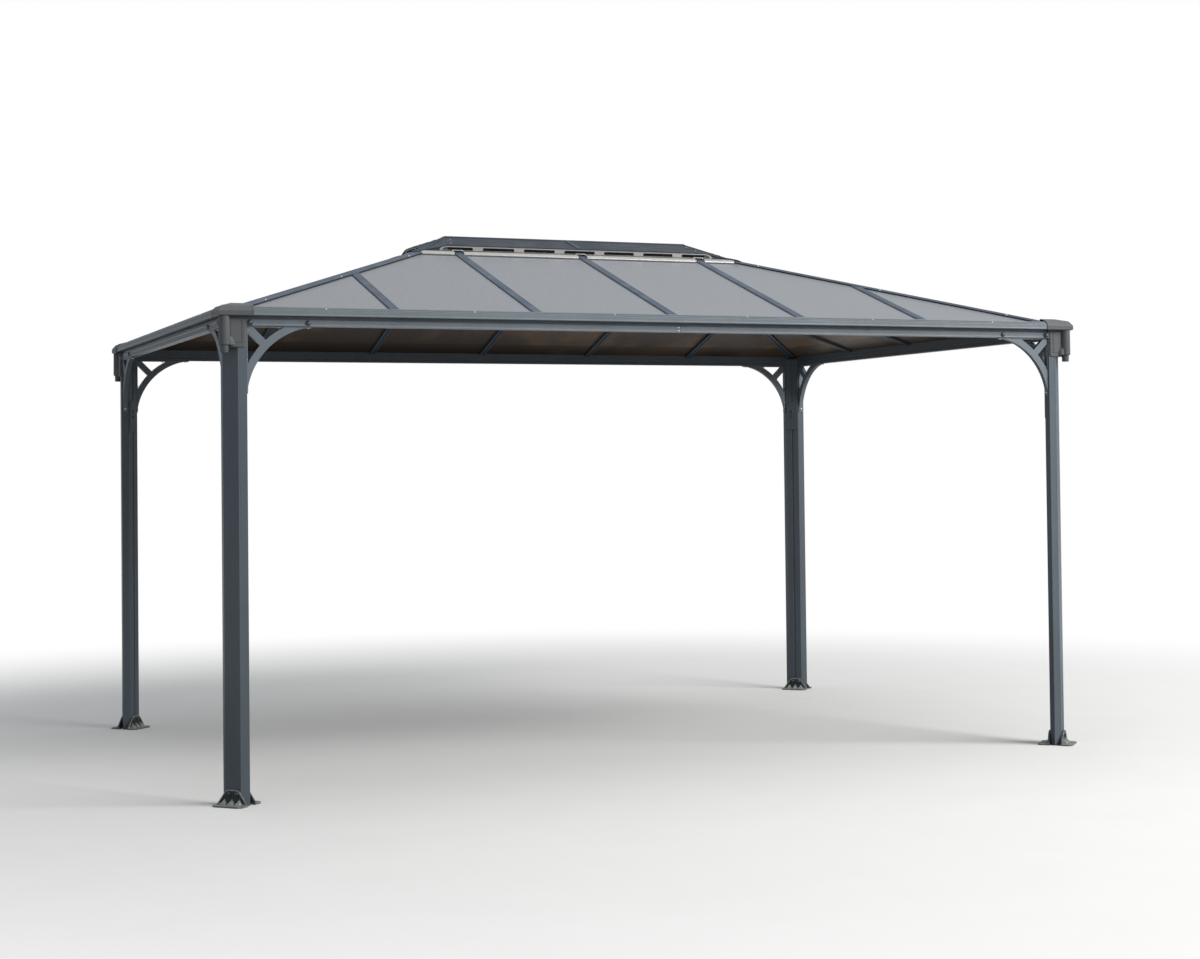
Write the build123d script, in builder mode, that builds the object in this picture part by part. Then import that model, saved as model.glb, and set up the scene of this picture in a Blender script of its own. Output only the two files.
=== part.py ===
from build123d import *
from math import cos, radians, sin, sqrt, tan
import os

# A rectangular open garden gazebo of extruded metal with a hipped roof in two tiers.
# Millimetres. X runs along the long sides, the front is towards -Y, and the ground is Z = 0.
# The origin is the middle of the plan at ground level.

# Plan: the roof is divided into equal bays, and the posts stand just outside that grid
bay_pitch = 675.0
long_bays = 6
short_bays = 4
post_outset = 52.0

# Posts: a square tube with its outer and inner corners cut away
post_size = 94.0
post_corner_cut = 55.0
post_wall = 3.0
beam_underside = 2040.0

# Feet: two cast brackets on the slanted faces of each post
foot_length = 150.0
foot_reach = 58.0
foot_thickness = 7.0
foot_corner = 16.0
foot_plate_top = 60.0
foot_plate_height = 62.0
foot_plate_thickness = 6.0
foot_plate_rounding = 12.0
foot_border = 6.0
foot_border_rise = 4.0
gusset_width = 27.0
gusset_reach = 24.0
gusset_height = 34.0
gusset_tip = 3.0
gusset_spacing = 34.0
anchor_setback = 30.0
anchor_radius = 4.5

# Eave beams: a box section with a shadow groove below the gutter
beam_height = 43.0
beam_face = 27.0
beam_groove_depth = 8.0
beam_wall = 3.0

# Gutters: an open channel carried on the beams and reaching out past them
gutter_reach = 76.0
gutter_wall = 2.5
gutter_face = 27.0
gutter_lip_inset = 15.0
gutter_lip_rise = 11.0
gutter_lip_return = 8.0
splice_gap = 0.6

# Roof slopes
roof_pitch = 18.5
panel_thickness = 8.0
panel_foot_height = 16.5
panel_foot = 30.0
vent_half_width = 194.0

# Roof bars: a flat cap above the panels and a flange below them, joined by a web
rib_cap_width = 48.0
rib_cap_height = 6.5
rib_flange_width = 32.0
rib_flange_depth = 13.0
rib_groove_width = 10.0
rib_groove_depth = 4.0
rib_web = 10.0
rib_overhang = 25.0
hip_cap_width = 58.0
hip_cap_edge = 6.0
hip_cap_rise = 18.0
hip_cap_flat = 34.0
hip_flange_width = 46.0
hip_flange_depth = 14.0
hip_web = 14.0

# Corner caps over the gutter corners
cap_leg = 72.5
cap_wall = 3.0
cap_shoulder = 73.0
cap_brow = 86.0
cap_brow_inset = 17.0
cap_crown = 99.0
cap_inner_edge = 10.0

# Corner brackets: cover plates round the head of the post, with the drain between them
plate_side = 41.5
plate_depth = 92.0
plate_thickness = 3.0
arm_reach = 72.0
arm_overlap = 8.0
drain_offset = 50.0
drain_radius = 25.0
drain_bore = 11.0
drain_depth = 84.0
skirt_height = 44.0
skirt_taper = 18.0
skirt_spread = 49.0
skirt_shoulder = 22.0
spout_radius = 17.0
spout_length = 33.0

# Knee braces: an arc with a diagonal spur, and flanges along post and beam
brace_radius = 323.0
brace_band = 33.0
brace_thickness = 24.0
brace_flange = 5.0
brace_reach = 290.0
brace_rounding = 5.0
shield_width = 66.0
shield_height = 175.0
shield_drop = 225.0
shield_thickness = 3.0

# Upper tier: a frame round the throat, a pale rail, slotted strips and a small hipped cover
throat_width = 28.0
throat_depth = 20.0
rail_width = 22.0
rail_height = 15.0
strip_setback = 5.0
strip_thickness = 3.0
strip_height = 22.0
vent_corner_length = 85.0
vent_corner_wall = 4.0
slot_pitch = 224.0
slot_length = 170.0
slot_height = 14.0
slot_rounding = 5.0
slot_rise = 2.0
long_slots = 7
short_slots = 1
cover_thickness = 4.0
cover_overhang = 2.0
cover_joint = 1.0
cover_bar_width = 32.0
cover_bar_height = 4.0

# Clearance between neighbouring pieces
fit = 0.3

# Worked out from the sizes above
half_length = long_bays * bay_pitch / 2 + post_outset
half_width = short_bays * bay_pitch / 2 + post_outset
post_half = post_size / 2
flat_start = post_corner_cut - post_half
slant_distance = (post_size - post_corner_cut) / sqrt(2)
beam_top = beam_underside + beam_height
floor_top = beam_top + gutter_wall
slope = tan(radians(roof_pitch))
hip_slope = slope / sqrt(2)
upright = 1 / cos(radians(roof_pitch))
panel_drop = panel_thickness * upright
vent_run = half_width - vent_half_width
vent_half_length = half_length - vent_run
vertical = Vector(0, 0, 1)
sides = {"front": (0, -1), "right": (1, 0), "back": (0, 1), "left": (-1, 0)}
corners = {
    "front_left": (-1, -1),
    "front_right": (1, -1),
    "back_right": (1, 1),
    "back_left": (-1, 1),
}
# The side whose far end, going round the gazebo, is at each corner
side_before = {
    "front_right": "front",
    "back_right": "right",
    "back_left": "back",
    "front_left": "left",
}


def roof_height(run):
    """Height of the panels' upper face at a distance inside the post line."""
    return floor_top + panel_foot_height + (run + panel_foot) * slope


def side_sizes(side):
    """Half length of a side between post lines, half depth across it, and its bays."""
    if side in ("front", "back"):
        return half_length, half_width, long_bays
    return half_width, half_length, short_bays


def side_axes(side):
    """Outward and lengthwise directions of a side."""
    out = Vector(*sides[side], 0)
    return out, Vector(-out.Y, out.X, 0)


def side_point(side, along, run, height):
    """A point by its place along a side, its distance inside the post line and its height."""
    out, lengthwise = side_axes(side)
    return lengthwise * along + out * (side_sizes(side)[1] - run) + vertical * height


def section_plane(side, along):
    """A plane across a side: local x outwards from the post line, y up, extruding backwards."""
    out, _ = side_axes(side)
    return Plane(origin=side_point(side, along, 0, 0), x_dir=out, z_dir=out.cross(vertical))


def slope_plane(side, middle_height, run_start):
    """The plane of a roof slope: local x lengthwise, local y up the slope."""
    out, lengthwise = side_axes(side)
    normal = out * sin(radians(roof_pitch)) + vertical * cos(radians(roof_pitch))
    return Plane(origin=side_point(side, 0, run_start, middle_height), x_dir=lengthwise, z_dir=normal)


def middle_plane(side):
    """The vertical plane across the middle of a side."""
    return Plane(origin=(0, 0, 0), z_dir=side_axes(side)[1])


def run_plane(side, run):
    """Vertical plane along a side at a distance inside the post line, facing inwards."""
    return Plane(origin=side_point(side, 0, run, 0), z_dir=side_axes(side)[0] * -1)


def corner_diagonal(side, end, gap):
    """Vertical plane beside the diagonal through a side's end, facing that side."""
    out, lengthwise = side_axes(side)
    normal = (out - lengthwise * end).normalized()
    corner = side_point(side, end * side_sizes(side)[0], 0, 0)
    return Plane(origin=corner + normal * gap, z_dir=normal)


def corner_plane(corner, height):
    """Level plane at a post, with local x and y both pointing away from the gazebo."""
    sx, sy = corners[corner]
    along = Vector(sx, 0, 0) if sx * sy > 0 else Vector(0, sy, 0)
    return Plane(origin=(sx * half_length, sy * half_width, height), x_dir=along, z_dir=vertical)


def slant_plane(corner, facing, gap, height):
    """Level plane on a post's slanted face: local x along the face, y away from the post."""
    sx, sy = corners[corner]
    away = Vector(sx * facing, sy * facing, 0).normalized()
    centre = Vector(sx * half_length, sy * half_width, height)
    return Plane(origin=centre + away * (slant_distance + gap), x_dir=away.cross(vertical), z_dir=vertical)


def post_points(grow):
    """Outline of a post about its centre, with its faces moved out by a given amount."""
    half = post_half + grow
    start = flat_start - grow * (sqrt(2) - 1)
    return [(half, -half), (half, -start), (-start, half), (-half, half), (-half, start), (start, -half)]


def bay_outline(inner, outer, low, high, reach):
    """Plan of a roof bay between two lines, where place along and run add up to reach at the hip."""
    foot = min(outer, reach - low)
    points = [(inner, low), (foot, low), (foot, min(high, reach - foot))]
    if inner < reach - high:
        points += [(min(outer, reach - high), high), (inner, high)]
    else:
        points.append((inner, reach - inner))
    return [(along, run * upright) for along, run in dict.fromkeys(points)]


def save(part, name):
    """Label a finished sub-part and write it under its own name."""
    part.label = name
    export_step(part, f"parts/{name}.step")


os.makedirs("parts", exist_ok=True)

# Posts
for corner in corners:
    with BuildPart() as post:
        with BuildSketch(corner_plane(corner, 0)):
            Polygon(*post_points(0), align=None)
            Polygon(*post_points(-post_wall), align=None, mode=Mode.SUBTRACT)
        extrude(amount=beam_top)
    save(post.part, f"{corner}_post")

# Feet: a base plate, an upright plate with a raised border, and three gussets between them
anchor_spread = slant_distance + fit + anchor_setback
for corner in corners:
    with BuildPart() as foot:
        for facing in (1, -1):
            with BuildSketch(slant_plane(corner, facing, fit, 0)):
                with BuildLine():
                    Polyline(
                        (-foot_length / 2, 0),
                        (foot_length / 2, 0),
                        (foot_length / 2, foot_reach - foot_corner),
                        (foot_length / 2 - foot_corner, foot_reach),
                        (foot_corner - foot_length / 2, foot_reach),
                        (-foot_length / 2, foot_reach - foot_corner),
                        close=True,
                    )
                make_face()
                with Locations((-anchor_spread, anchor_setback), (anchor_spread, anchor_setback)):
                    Circle(anchor_radius, mode=Mode.SUBTRACT)
            extrude(amount=foot_thickness)
            level = slant_plane(corner, facing, fit, foot_thickness)
            wall = Plane(origin=level.origin, x_dir=level.x_dir, z_dir=level.y_dir * -1)
            with BuildSketch(wall) as outline:
                with BuildLine():
                    Polyline(
                        (-foot_length / 2, 0),
                        (foot_length / 2, 0),
                        (foot_plate_top / 2, foot_plate_height),
                        (-foot_plate_top / 2, foot_plate_height),
                        close=True,
                    )
                make_face()
                fillet(outline.vertices().group_by(Axis.Y)[-1], foot_plate_rounding)
            extrude(amount=-foot_plate_thickness)
            with BuildSketch(wall.offset(-foot_plate_thickness)):
                add(outline.sketch_local)
                offset(amount=-foot_border, mode=Mode.SUBTRACT)
            extrude(amount=-foot_border_rise)
            for place in (-gusset_spacing, 0, gusset_spacing):
                with BuildSketch(level):
                    with Locations((place, foot_plate_thickness)):
                        Rectangle(gusset_width, gusset_reach, align=(Align.CENTER, Align.MIN))
                with BuildSketch(level.offset(gusset_height)):
                    with Locations((place, foot_plate_thickness)):
                        Rectangle(gusset_tip, gusset_tip, align=(Align.CENTER, Align.MIN))
                loft()
    save(foot.part, f"{corner}_feet")

# Eave beams: each long one is made of two lengths that meet in the middle
beam_points = [
    (flat_start, beam_underside),
    (post_half, beam_underside),
    (post_half, beam_underside + beam_face),
    (post_half - beam_groove_depth, beam_underside + beam_face),
    (post_half - beam_groove_depth, beam_top),
    (flat_start, beam_top),
]
for side in sides:
    span = side_sizes(side)[0]
    beam_end = span - post_half - fit
    start = splice_gap / 2 if side in ("front", "back") else 0
    with BuildPart() as beam:
        with BuildSketch(section_plane(side, beam_end)):
            Polygon(*beam_points, align=None)
            offset(amount=-beam_wall, kind=Kind.INTERSECTION, mode=Mode.SUBTRACT)
        extrude(amount=beam_end - start)
        mirror(about=middle_plane(side))
    save(beam.part, f"{side}_beam")

# Gutters: mitred at the corners, with a drain hole through the floor there
lip_top = beam_top + gutter_face + gutter_lip_rise
lip_edge = gutter_reach - gutter_lip_inset
for side in sides:
    span = side_sizes(side)[0]
    start = splice_gap / 2 if side in ("front", "back") else 0
    with BuildPart() as gutter:
        with BuildSketch(section_plane(side, span + gutter_reach)):
            with BuildLine():
                Polyline(
                    (flat_start, beam_top),
                    (gutter_reach, beam_top),
                    (gutter_reach, beam_top + gutter_face),
                    (lip_edge, lip_top),
                    (lip_edge, lip_top - gutter_lip_return),
                )
                offset(amount=gutter_wall, side=Side.LEFT, kind=Kind.INTERSECTION)
            make_face()
        extrude(amount=span + gutter_reach - start)
        split(bisect_by=corner_diagonal(side, 1, fit), keep=Keep.TOP)
        with BuildSketch(Plane(origin=side_point(side, span + drain_offset, -drain_offset, beam_top))):
            Circle(drain_bore)
        extrude(amount=gutter_wall, both=True, mode=Mode.SUBTRACT)
        mirror(about=middle_plane(side))
    save(gutter.part, f"{side}_gutter")

# Corner caps: a shell that wraps the mitred gutters and ends just above the panels
cap_floor = beam_top - fit - cap_wall
cap_reach = gutter_reach + fit + cap_wall
cap_skirt = roof_height(-cap_inner_edge) + fit
for corner, side in side_before.items():
    span = side_sizes(side)[0]
    with BuildPart() as cap:
        with BuildSketch(section_plane(side, span + cap_reach)):
            with BuildLine():
                Polyline(
                    (post_half + fit, cap_floor),
                    (cap_reach, cap_floor),
                    (cap_reach, beam_underside + cap_shoulder),
                    (cap_reach - cap_brow_inset, beam_underside + cap_brow),
                    (cap_inner_edge, beam_underside + cap_crown),
                    (cap_inner_edge, cap_skirt),
                )
                offset(amount=cap_wall, side=Side.LEFT, kind=Kind.INTERSECTION)
            make_face()
        extrude(amount=cap_reach + cap_leg)
        split(bisect_by=corner_diagonal(side, 1, 0), keep=Keep.TOP)
        mirror(about=corner_diagonal(side, 1, 0))
        with BuildSketch(corner_plane(corner, cap_floor)):
            with Locations((drain_offset, drain_offset)):
                Circle(drain_bore)
        extrude(amount=cap_wall, mode=Mode.SUBTRACT)
    save(cap.part, f"{corner}_cap")

# Corner brackets
plate_face = post_half + fit + plate_thickness
bracket_top = cap_floor - fit
skirt_start = drain_offset - skirt_spread
post_edge = post_points(fit)
for corner in corners:
    with BuildPart() as bracket:
        with BuildSketch(corner_plane(corner, beam_underside - plate_depth)):
            Polygon(
                (-plate_side, plate_face),
                (drain_offset - drain_radius, plate_face),
                (plate_face, drain_offset - drain_radius),
                (plate_face, -plate_side),
                (post_edge[1][0], -plate_side),
                post_edge[1],
                post_edge[2],
                (-plate_side, post_edge[2][1]),
                align=None,
            )
        extrude(amount=bracket_top - beam_underside + plate_depth)
        with BuildSketch(corner_plane(corner, beam_underside + fit)):
            for swap in (False, True):
                arm = [
                    (arm_overlap - plate_side, plate_face),
                    (-arm_reach, plate_face),
                    (-arm_reach, plate_face - plate_thickness),
                    (arm_overlap - plate_side, plate_face - plate_thickness),
                ]
                Polygon(*[(y, x) if swap else (x, y) for x, y in arm], align=None)
        extrude(amount=beam_face - 2 * fit)
        with BuildSketch(corner_plane(corner, beam_underside - drain_depth)):
            Polygon(
                (skirt_start, plate_face),
                (drain_offset - skirt_shoulder, drain_offset + skirt_shoulder),
                (drain_offset + skirt_shoulder, drain_offset - skirt_shoulder),
                (plate_face, skirt_start),
                align=None,
            )
        extrude(amount=skirt_height, taper=skirt_taper)
        with BuildSketch(corner_plane(corner, beam_underside - drain_depth)):
            with Locations((drain_offset, drain_offset)):
                Circle(drain_radius)
        extrude(amount=bracket_top - beam_underside + drain_depth)
        with BuildSketch(corner_plane(corner, beam_underside - drain_depth - spout_length)):
            with Locations((drain_offset, drain_offset)):
                Circle(spout_radius)
        extrude(amount=spout_length)
        with BuildSketch(corner_plane(corner, bracket_top)):
            with Locations((drain_offset, drain_offset)):
                Circle(drain_bore)
        extrude(amount=beam_underside - drain_depth - spout_length - bracket_top, mode=Mode.SUBTRACT)
    save(bracket.part, f"{corner}_bracket")

# Knee braces: two for each post, under the two beams that meet there
brace_middle = (flat_start + post_half) / 2
arc_centre = (post_half + brace_radius, -brace_radius)
with BuildSketch() as brace_openings:
    with Locations((post_half + fit + brace_flange, -fit - brace_flange)):
        Rectangle(brace_reach, brace_reach, align=(Align.MIN, Align.MAX))
    with Locations(arc_centre):
        Circle(brace_radius + brace_band, mode=Mode.SUBTRACT)
    with Locations(Location((post_half, 0), -45)):
        Rectangle(brace_radius, brace_band, mode=Mode.SUBTRACT)
    fillet(brace_openings.vertices(), brace_rounding)
for corner, (sx, sy) in corners.items():
    with BuildPart() as brace:
        for inward, outward in ((Vector(-sx, 0, 0), Vector(0, sy, 0)), (Vector(0, -sy, 0), Vector(sx, 0, 0))):
            centre = Vector(sx * half_length, sy * half_width, beam_underside) + outward * brace_middle
            face = Plane(origin=centre, x_dir=inward, z_dir=inward.cross(vertical))
            with BuildSketch(face):
                with Locations((post_half + fit, -fit)):
                    Rectangle(brace_reach, brace_reach, align=(Align.MIN, Align.MAX))
                with Locations(arc_centre):
                    Circle(brace_radius, mode=Mode.SUBTRACT)
                add(brace_openings.sketch, mode=Mode.SUBTRACT)
                with Locations((post_half + fit, -fit)):
                    Rectangle(brace_reach, brace_flange, align=(Align.MIN, Align.MAX))
                    Rectangle(brace_flange, brace_reach, align=(Align.MIN, Align.MAX))
            extrude(amount=brace_thickness / 2, both=True)
    save(brace.part, f"{corner}_braces")

# Round-topped plates on the inner slanted faces, where the braces are screwed on
with BuildPart() as shields:
    for corner in corners:
        level = slant_plane(corner, -1, fit, beam_underside - shield_drop)
        with BuildSketch(Plane(origin=level.origin, x_dir=level.x_dir, z_dir=level.y_dir * -1)):
            with Locations((0, -shield_width / 2)):
                Circle(shield_width / 2)
                Rectangle(
                    shield_width, shield_height - shield_width / 2, align=(Align.CENTER, Align.MAX)
                )
        extrude(amount=-shield_thickness)
save(shields.part, "brace_plates")

# Rafters of each slope: bars from the gutter to the throat frame or to a hip
panel_under = -panel_thickness - fit
for side in sides:
    span, _, bays = side_sizes(side)
    with BuildPart() as rafters:
        for step in range(1 - bays // 2, bays // 2):
            plane = slope_plane(side, roof_height(vent_run + rib_cap_width), vent_run + rib_cap_width)
            start = plane.origin + plane.x_dir * (step * bay_pitch)
            with BuildSketch(Plane(origin=start, x_dir=plane.x_dir, z_dir=plane.y_dir * -1)):
                with Locations((0, fit)):
                    Rectangle(rib_cap_width, rib_cap_height, align=(Align.CENTER, Align.MIN))
                    Rectangle(rib_web, 2 * fit + panel_thickness, align=(Align.CENTER, Align.MAX))
                with Locations((0, panel_under)):
                    Rectangle(rib_flange_width, rib_flange_depth, align=(Align.CENTER, Align.MAX))
                with Locations((0, panel_under - rib_flange_depth)):
                    Rectangle(
                        rib_groove_width,
                        rib_groove_depth,
                        align=(Align.CENTER, Align.MIN),
                        mode=Mode.SUBTRACT,
                    )
            extrude(amount=(vent_run + 2 * rib_cap_width + rib_overhang) * upright)
        split(bisect_by=run_plane(side, vent_run - fit), keep=Keep.BOTTOM)
        split(bisect_by=run_plane(side, -rib_overhang), keep=Keep.TOP)
        for end in (1, -1):
            split(bisect_by=corner_diagonal(side, end, hip_cap_width / 2 + fit), keep=Keep.TOP)
        with BuildSketch(section_plane(side, 0)):
            with Locations((flat_start - fit, floor_top + fit)):
                Rectangle(gutter_reach, beam_height, align=(Align.MIN, Align.MAX))
        extrude(amount=span, both=True, mode=Mode.SUBTRACT)
    save(rafters.part, f"{side}_rafters")

# Hip rafters: notched round the corners of the throat frame
hip_edge = hip_cap_width / 2
hip_flange_edge = hip_flange_width / 2
hip_under = -panel_drop - fit * upright
hip_foot = -panel_drop - hip_flange_depth
hip_plan = vent_run * sqrt(2) + 2 * hip_cap_width
with BuildPart() as hips:
    for side in sides:
        out, lengthwise = side_axes(side)
        inwards = (out * -1 - lengthwise).normalized()
        rising = (inwards + vertical * hip_slope).normalized()
        back = inwards * hip_cap_width + vertical * (hip_cap_width * hip_slope)
        start = side_point(side, side_sizes(side)[0], 0, roof_height(0)) - back
        with BuildSketch(Plane(origin=start, x_dir=vertical.cross(inwards), z_dir=inwards)):
            for turn in (1, -1):
                Polygon(
                    (0, fit * upright),
                    (turn * hip_edge, fit * upright - hip_edge * hip_slope),
                    (turn * hip_edge, fit * upright - hip_edge * hip_slope + hip_cap_edge),
                    (turn * hip_cap_flat / 2, hip_cap_rise),
                    (0, hip_cap_rise),
                    align=None,
                )
                Polygon(
                    (0, hip_under),
                    (turn * hip_flange_edge, hip_under - hip_flange_edge * hip_slope),
                    (turn * hip_flange_edge, hip_foot),
                    (0, hip_foot),
                    align=None,
                )
            with Locations((0, hip_foot)):
                Rectangle(hip_web, hip_cap_edge - hip_foot, align=(Align.CENTER, Align.MIN))
        extrude(amount=hip_plan * sqrt(1 + hip_slope**2), dir=rising)
    with BuildSketch(Plane.XY):
        Rectangle(2 * (half_length + cap_inner_edge - fit), 2 * (half_width + cap_inner_edge - fit))
        Rectangle(2 * (vent_half_length + fit), 2 * (vent_half_width + fit), mode=Mode.SUBTRACT)
    extrude(amount=2 * roof_height(vent_run), mode=Mode.INTERSECT)
save(hips.part, "hip_rafters")

# Roof panels: one sheet in each bay, held between the caps and flanges of the bars
panel_edge = rib_web / 2 + fit
for side in sides:
    span, _, bays = side_sizes(side)
    reach = span - sqrt(2) * (hip_web / 2 + fit)
    with BuildPart() as panels:
        for step in range(bays // 2):
            inner = step * bay_pitch + panel_edge
            outer = (step + 1) * bay_pitch - panel_edge
            if step == bays // 2 - 1:
                outer = span + panel_foot
            with BuildSketch(slope_plane(side, roof_height(0), 0)):
                Polygon(*bay_outline(inner, outer, -panel_foot, vent_run - fit, reach), align=None)
            extrude(amount=panel_drop, dir=(0, 0, -1))
        mirror(about=middle_plane(side))
    save(panels.part, f"{side}_panels")

# Throat frame and the pale rail on it
frame_top = roof_height(vent_run)
with BuildPart() as throat:
    with BuildSketch(Plane.XY.offset(frame_top)):
        Rectangle(2 * vent_half_length, 2 * vent_half_width)
        Rectangle(
            2 * (vent_half_length - throat_width), 2 * (vent_half_width - throat_width), mode=Mode.SUBTRACT
        )
    extrude(amount=-throat_depth)
save(throat.part, "throat_frame")

with BuildPart() as rail:
    with BuildSketch(Plane.XY.offset(frame_top)):
        Rectangle(2 * vent_half_length, 2 * vent_half_width)
        Rectangle(2 * (vent_half_length - rail_width), 2 * (vent_half_width - rail_width), mode=Mode.SUBTRACT)
    extrude(amount=rail_height)
save(rail.part, "vent_rail")

# Slotted strips between the corner pieces of the upper tier
rail_top = frame_top + rail_height
strip_top = rail_top + strip_height
strip_half_length = vent_half_length - strip_setback
strip_half_width = vent_half_width - strip_setback
with BuildPart() as strips:
    for side in sides:
        out, lengthwise = side_axes(side)
        long_side = side in ("front", "back")
        face_distance = strip_half_width if long_side else strip_half_length
        other = strip_half_length if long_side else strip_half_width
        with BuildSketch(
            Plane(origin=out * face_distance + vertical * rail_top, x_dir=lengthwise, z_dir=out)
        ):
            Rectangle(
                2 * (other - vent_corner_length - fit), strip_height, align=(Align.CENTER, Align.MIN)
            )
            with Locations((0, slot_rise + slot_height / 2)):
                with GridLocations(slot_pitch, 0, long_slots if long_side else short_slots, 1):
                    RectangleRounded(slot_length, slot_height, slot_rounding, mode=Mode.SUBTRACT)
        extrude(amount=-strip_thickness)
save(strips.part, "vent_strips")

# Corner pieces of the upper tier
with BuildPart() as vent_corners:
    with BuildSketch(Plane.XY.offset(rail_top)):
        Rectangle(2 * strip_half_length, 2 * strip_half_width)
        Rectangle(
            2 * (strip_half_length - vent_corner_wall),
            2 * (strip_half_width - vent_corner_wall),
            mode=Mode.SUBTRACT,
        )
        Rectangle(2 * (strip_half_length - vent_corner_length), 2 * vent_half_width, mode=Mode.SUBTRACT)
        Rectangle(2 * vent_half_length, 2 * (strip_half_width - vent_corner_length), mode=Mode.SUBTRACT)
    extrude(amount=strip_height)
save(vent_corners.part, "vent_corners")

# Cover of the upper tier: a small hipped roof of thin sheets with bars on their joints
cover_half_length = strip_half_length + cover_overhang
cover_half_width = strip_half_width + cover_overhang
cover_edge = strip_top + (fit + cover_thickness) * upright - cover_overhang * slope
ridge_half = cover_half_length - cover_half_width
ridge_height = cover_edge + cover_half_width * slope
with BuildPart() as cover:
    for side in sides:
        long_side = side in ("front", "back")
        span = cover_half_length if long_side else cover_half_width
        depth = cover_half_width if long_side else cover_half_length
        reach = span - cover_joint / sqrt(2)
        inner = cover_joint / 2 if long_side else 0
        outline = bay_outline(inner, span, 0, cover_half_width - cover_joint / 2, reach)
        edge = side_sizes(side)[1] - depth
        with BuildSketch(slope_plane(side, cover_edge, edge)):
            Polygon(*outline, align=None)
            Polygon(*[(-along, run) for along, run in outline], align=None)
        extrude(amount=cover_thickness * upright, dir=(0, 0, -1))
save(cover.part, "vent_cover")


def folded_bar(fall):
    """Section of a bar folded over a joint whose sides fall at a given rate, about its top line."""
    half = cover_bar_width / 2
    low = fit * upright
    high = low + cover_bar_height
    edge = half * fall
    under = [(-half, low - edge), (0, low), (half, low - edge)]
    return under + [(half, high - edge), (0, high), (-half, high - edge)]


cover_hip_plan = cover_half_width * sqrt(2) + cover_bar_width
with BuildPart() as cover_bars:
    with BuildSketch(Plane.YZ):
        with Locations((0, ridge_height)):
            Polygon(*folded_bar(slope), align=None)
    extrude(amount=ridge_half, both=True)
    for turn in (1, -1):
        for side in ("front", "back"):
            out, lengthwise = side_axes(side)
            inwards = (out * -1 - lengthwise * turn).normalized()
            rising = (inwards + vertical * hip_slope).normalized()
            back = inwards * cover_bar_width + vertical * (cover_bar_width * hip_slope)
            start = out * cover_half_width + lengthwise * (turn * cover_half_length)
            start += vertical * cover_edge - back
            with BuildSketch(Plane(origin=start, x_dir=vertical.cross(inwards), z_dir=inwards)):
                Polygon(*folded_bar(hip_slope), align=None)
            extrude(amount=cover_hip_plan * sqrt(1 + hip_slope**2), dir=rising)
    for side in ("front", "back"):
        plane = slope_plane(side, cover_edge, half_width - cover_half_width)
        with BuildSketch(Plane(origin=plane.origin, x_dir=plane.x_dir, z_dir=plane.y_dir * -1)):
            with Locations((0, fit)):
                Rectangle(cover_bar_width, cover_bar_height, align=(Align.CENTER, Align.MIN))
        extrude(amount=-cover_half_width * upright)
    with BuildSketch(Plane.XY):
        Rectangle(2 * cover_half_length, 2 * cover_half_width)
    extrude(amount=2 * ridge_height, mode=Mode.INTERSECT)
save(cover_bars.part, "vent_bars")
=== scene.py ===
"""Looks of an open garden gazebo of extruded metal with a hipped roof in two tiers.

Metres throughout. X runs along the long sides, the front is towards -Y, the ground is Z = 0
and the origin is the middle of the plan. Corner pieces are made in a corner frame, at the
origin with -X and -Y pointing away from the gazebo, and side pieces in a side frame, with X
along the side and -Y pointing away from it. Both are then turned and moved into place.
"""

import logging
from collections.abc import Callable, Iterator, Sequence
from contextlib import contextmanager
from dataclasses import dataclass
from enum import Enum
from math import cos, pi, radians, sin, sqrt, tan

import bmesh
import bpy
from mathutils import Matrix, Vector


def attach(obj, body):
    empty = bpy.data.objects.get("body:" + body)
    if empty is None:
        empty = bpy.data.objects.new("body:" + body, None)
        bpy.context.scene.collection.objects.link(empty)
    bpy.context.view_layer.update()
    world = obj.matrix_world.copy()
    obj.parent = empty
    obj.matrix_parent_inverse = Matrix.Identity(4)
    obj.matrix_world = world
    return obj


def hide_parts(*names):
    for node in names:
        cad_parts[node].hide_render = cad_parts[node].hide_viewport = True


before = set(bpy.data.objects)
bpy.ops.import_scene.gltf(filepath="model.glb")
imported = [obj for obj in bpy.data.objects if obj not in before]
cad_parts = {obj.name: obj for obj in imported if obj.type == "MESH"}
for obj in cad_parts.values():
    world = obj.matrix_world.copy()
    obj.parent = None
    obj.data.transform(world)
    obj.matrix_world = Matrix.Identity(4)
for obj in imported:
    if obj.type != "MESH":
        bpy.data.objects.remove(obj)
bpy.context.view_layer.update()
log = logging.getLogger("gazebo")

Colour = tuple[float, float, float]
Point = tuple[float, float]
FaceTest = Callable[[Vector, Vector], bool]
EdgeTest = Callable[[Vector, Vector], bool]


# Sizes that the pieces share


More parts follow.
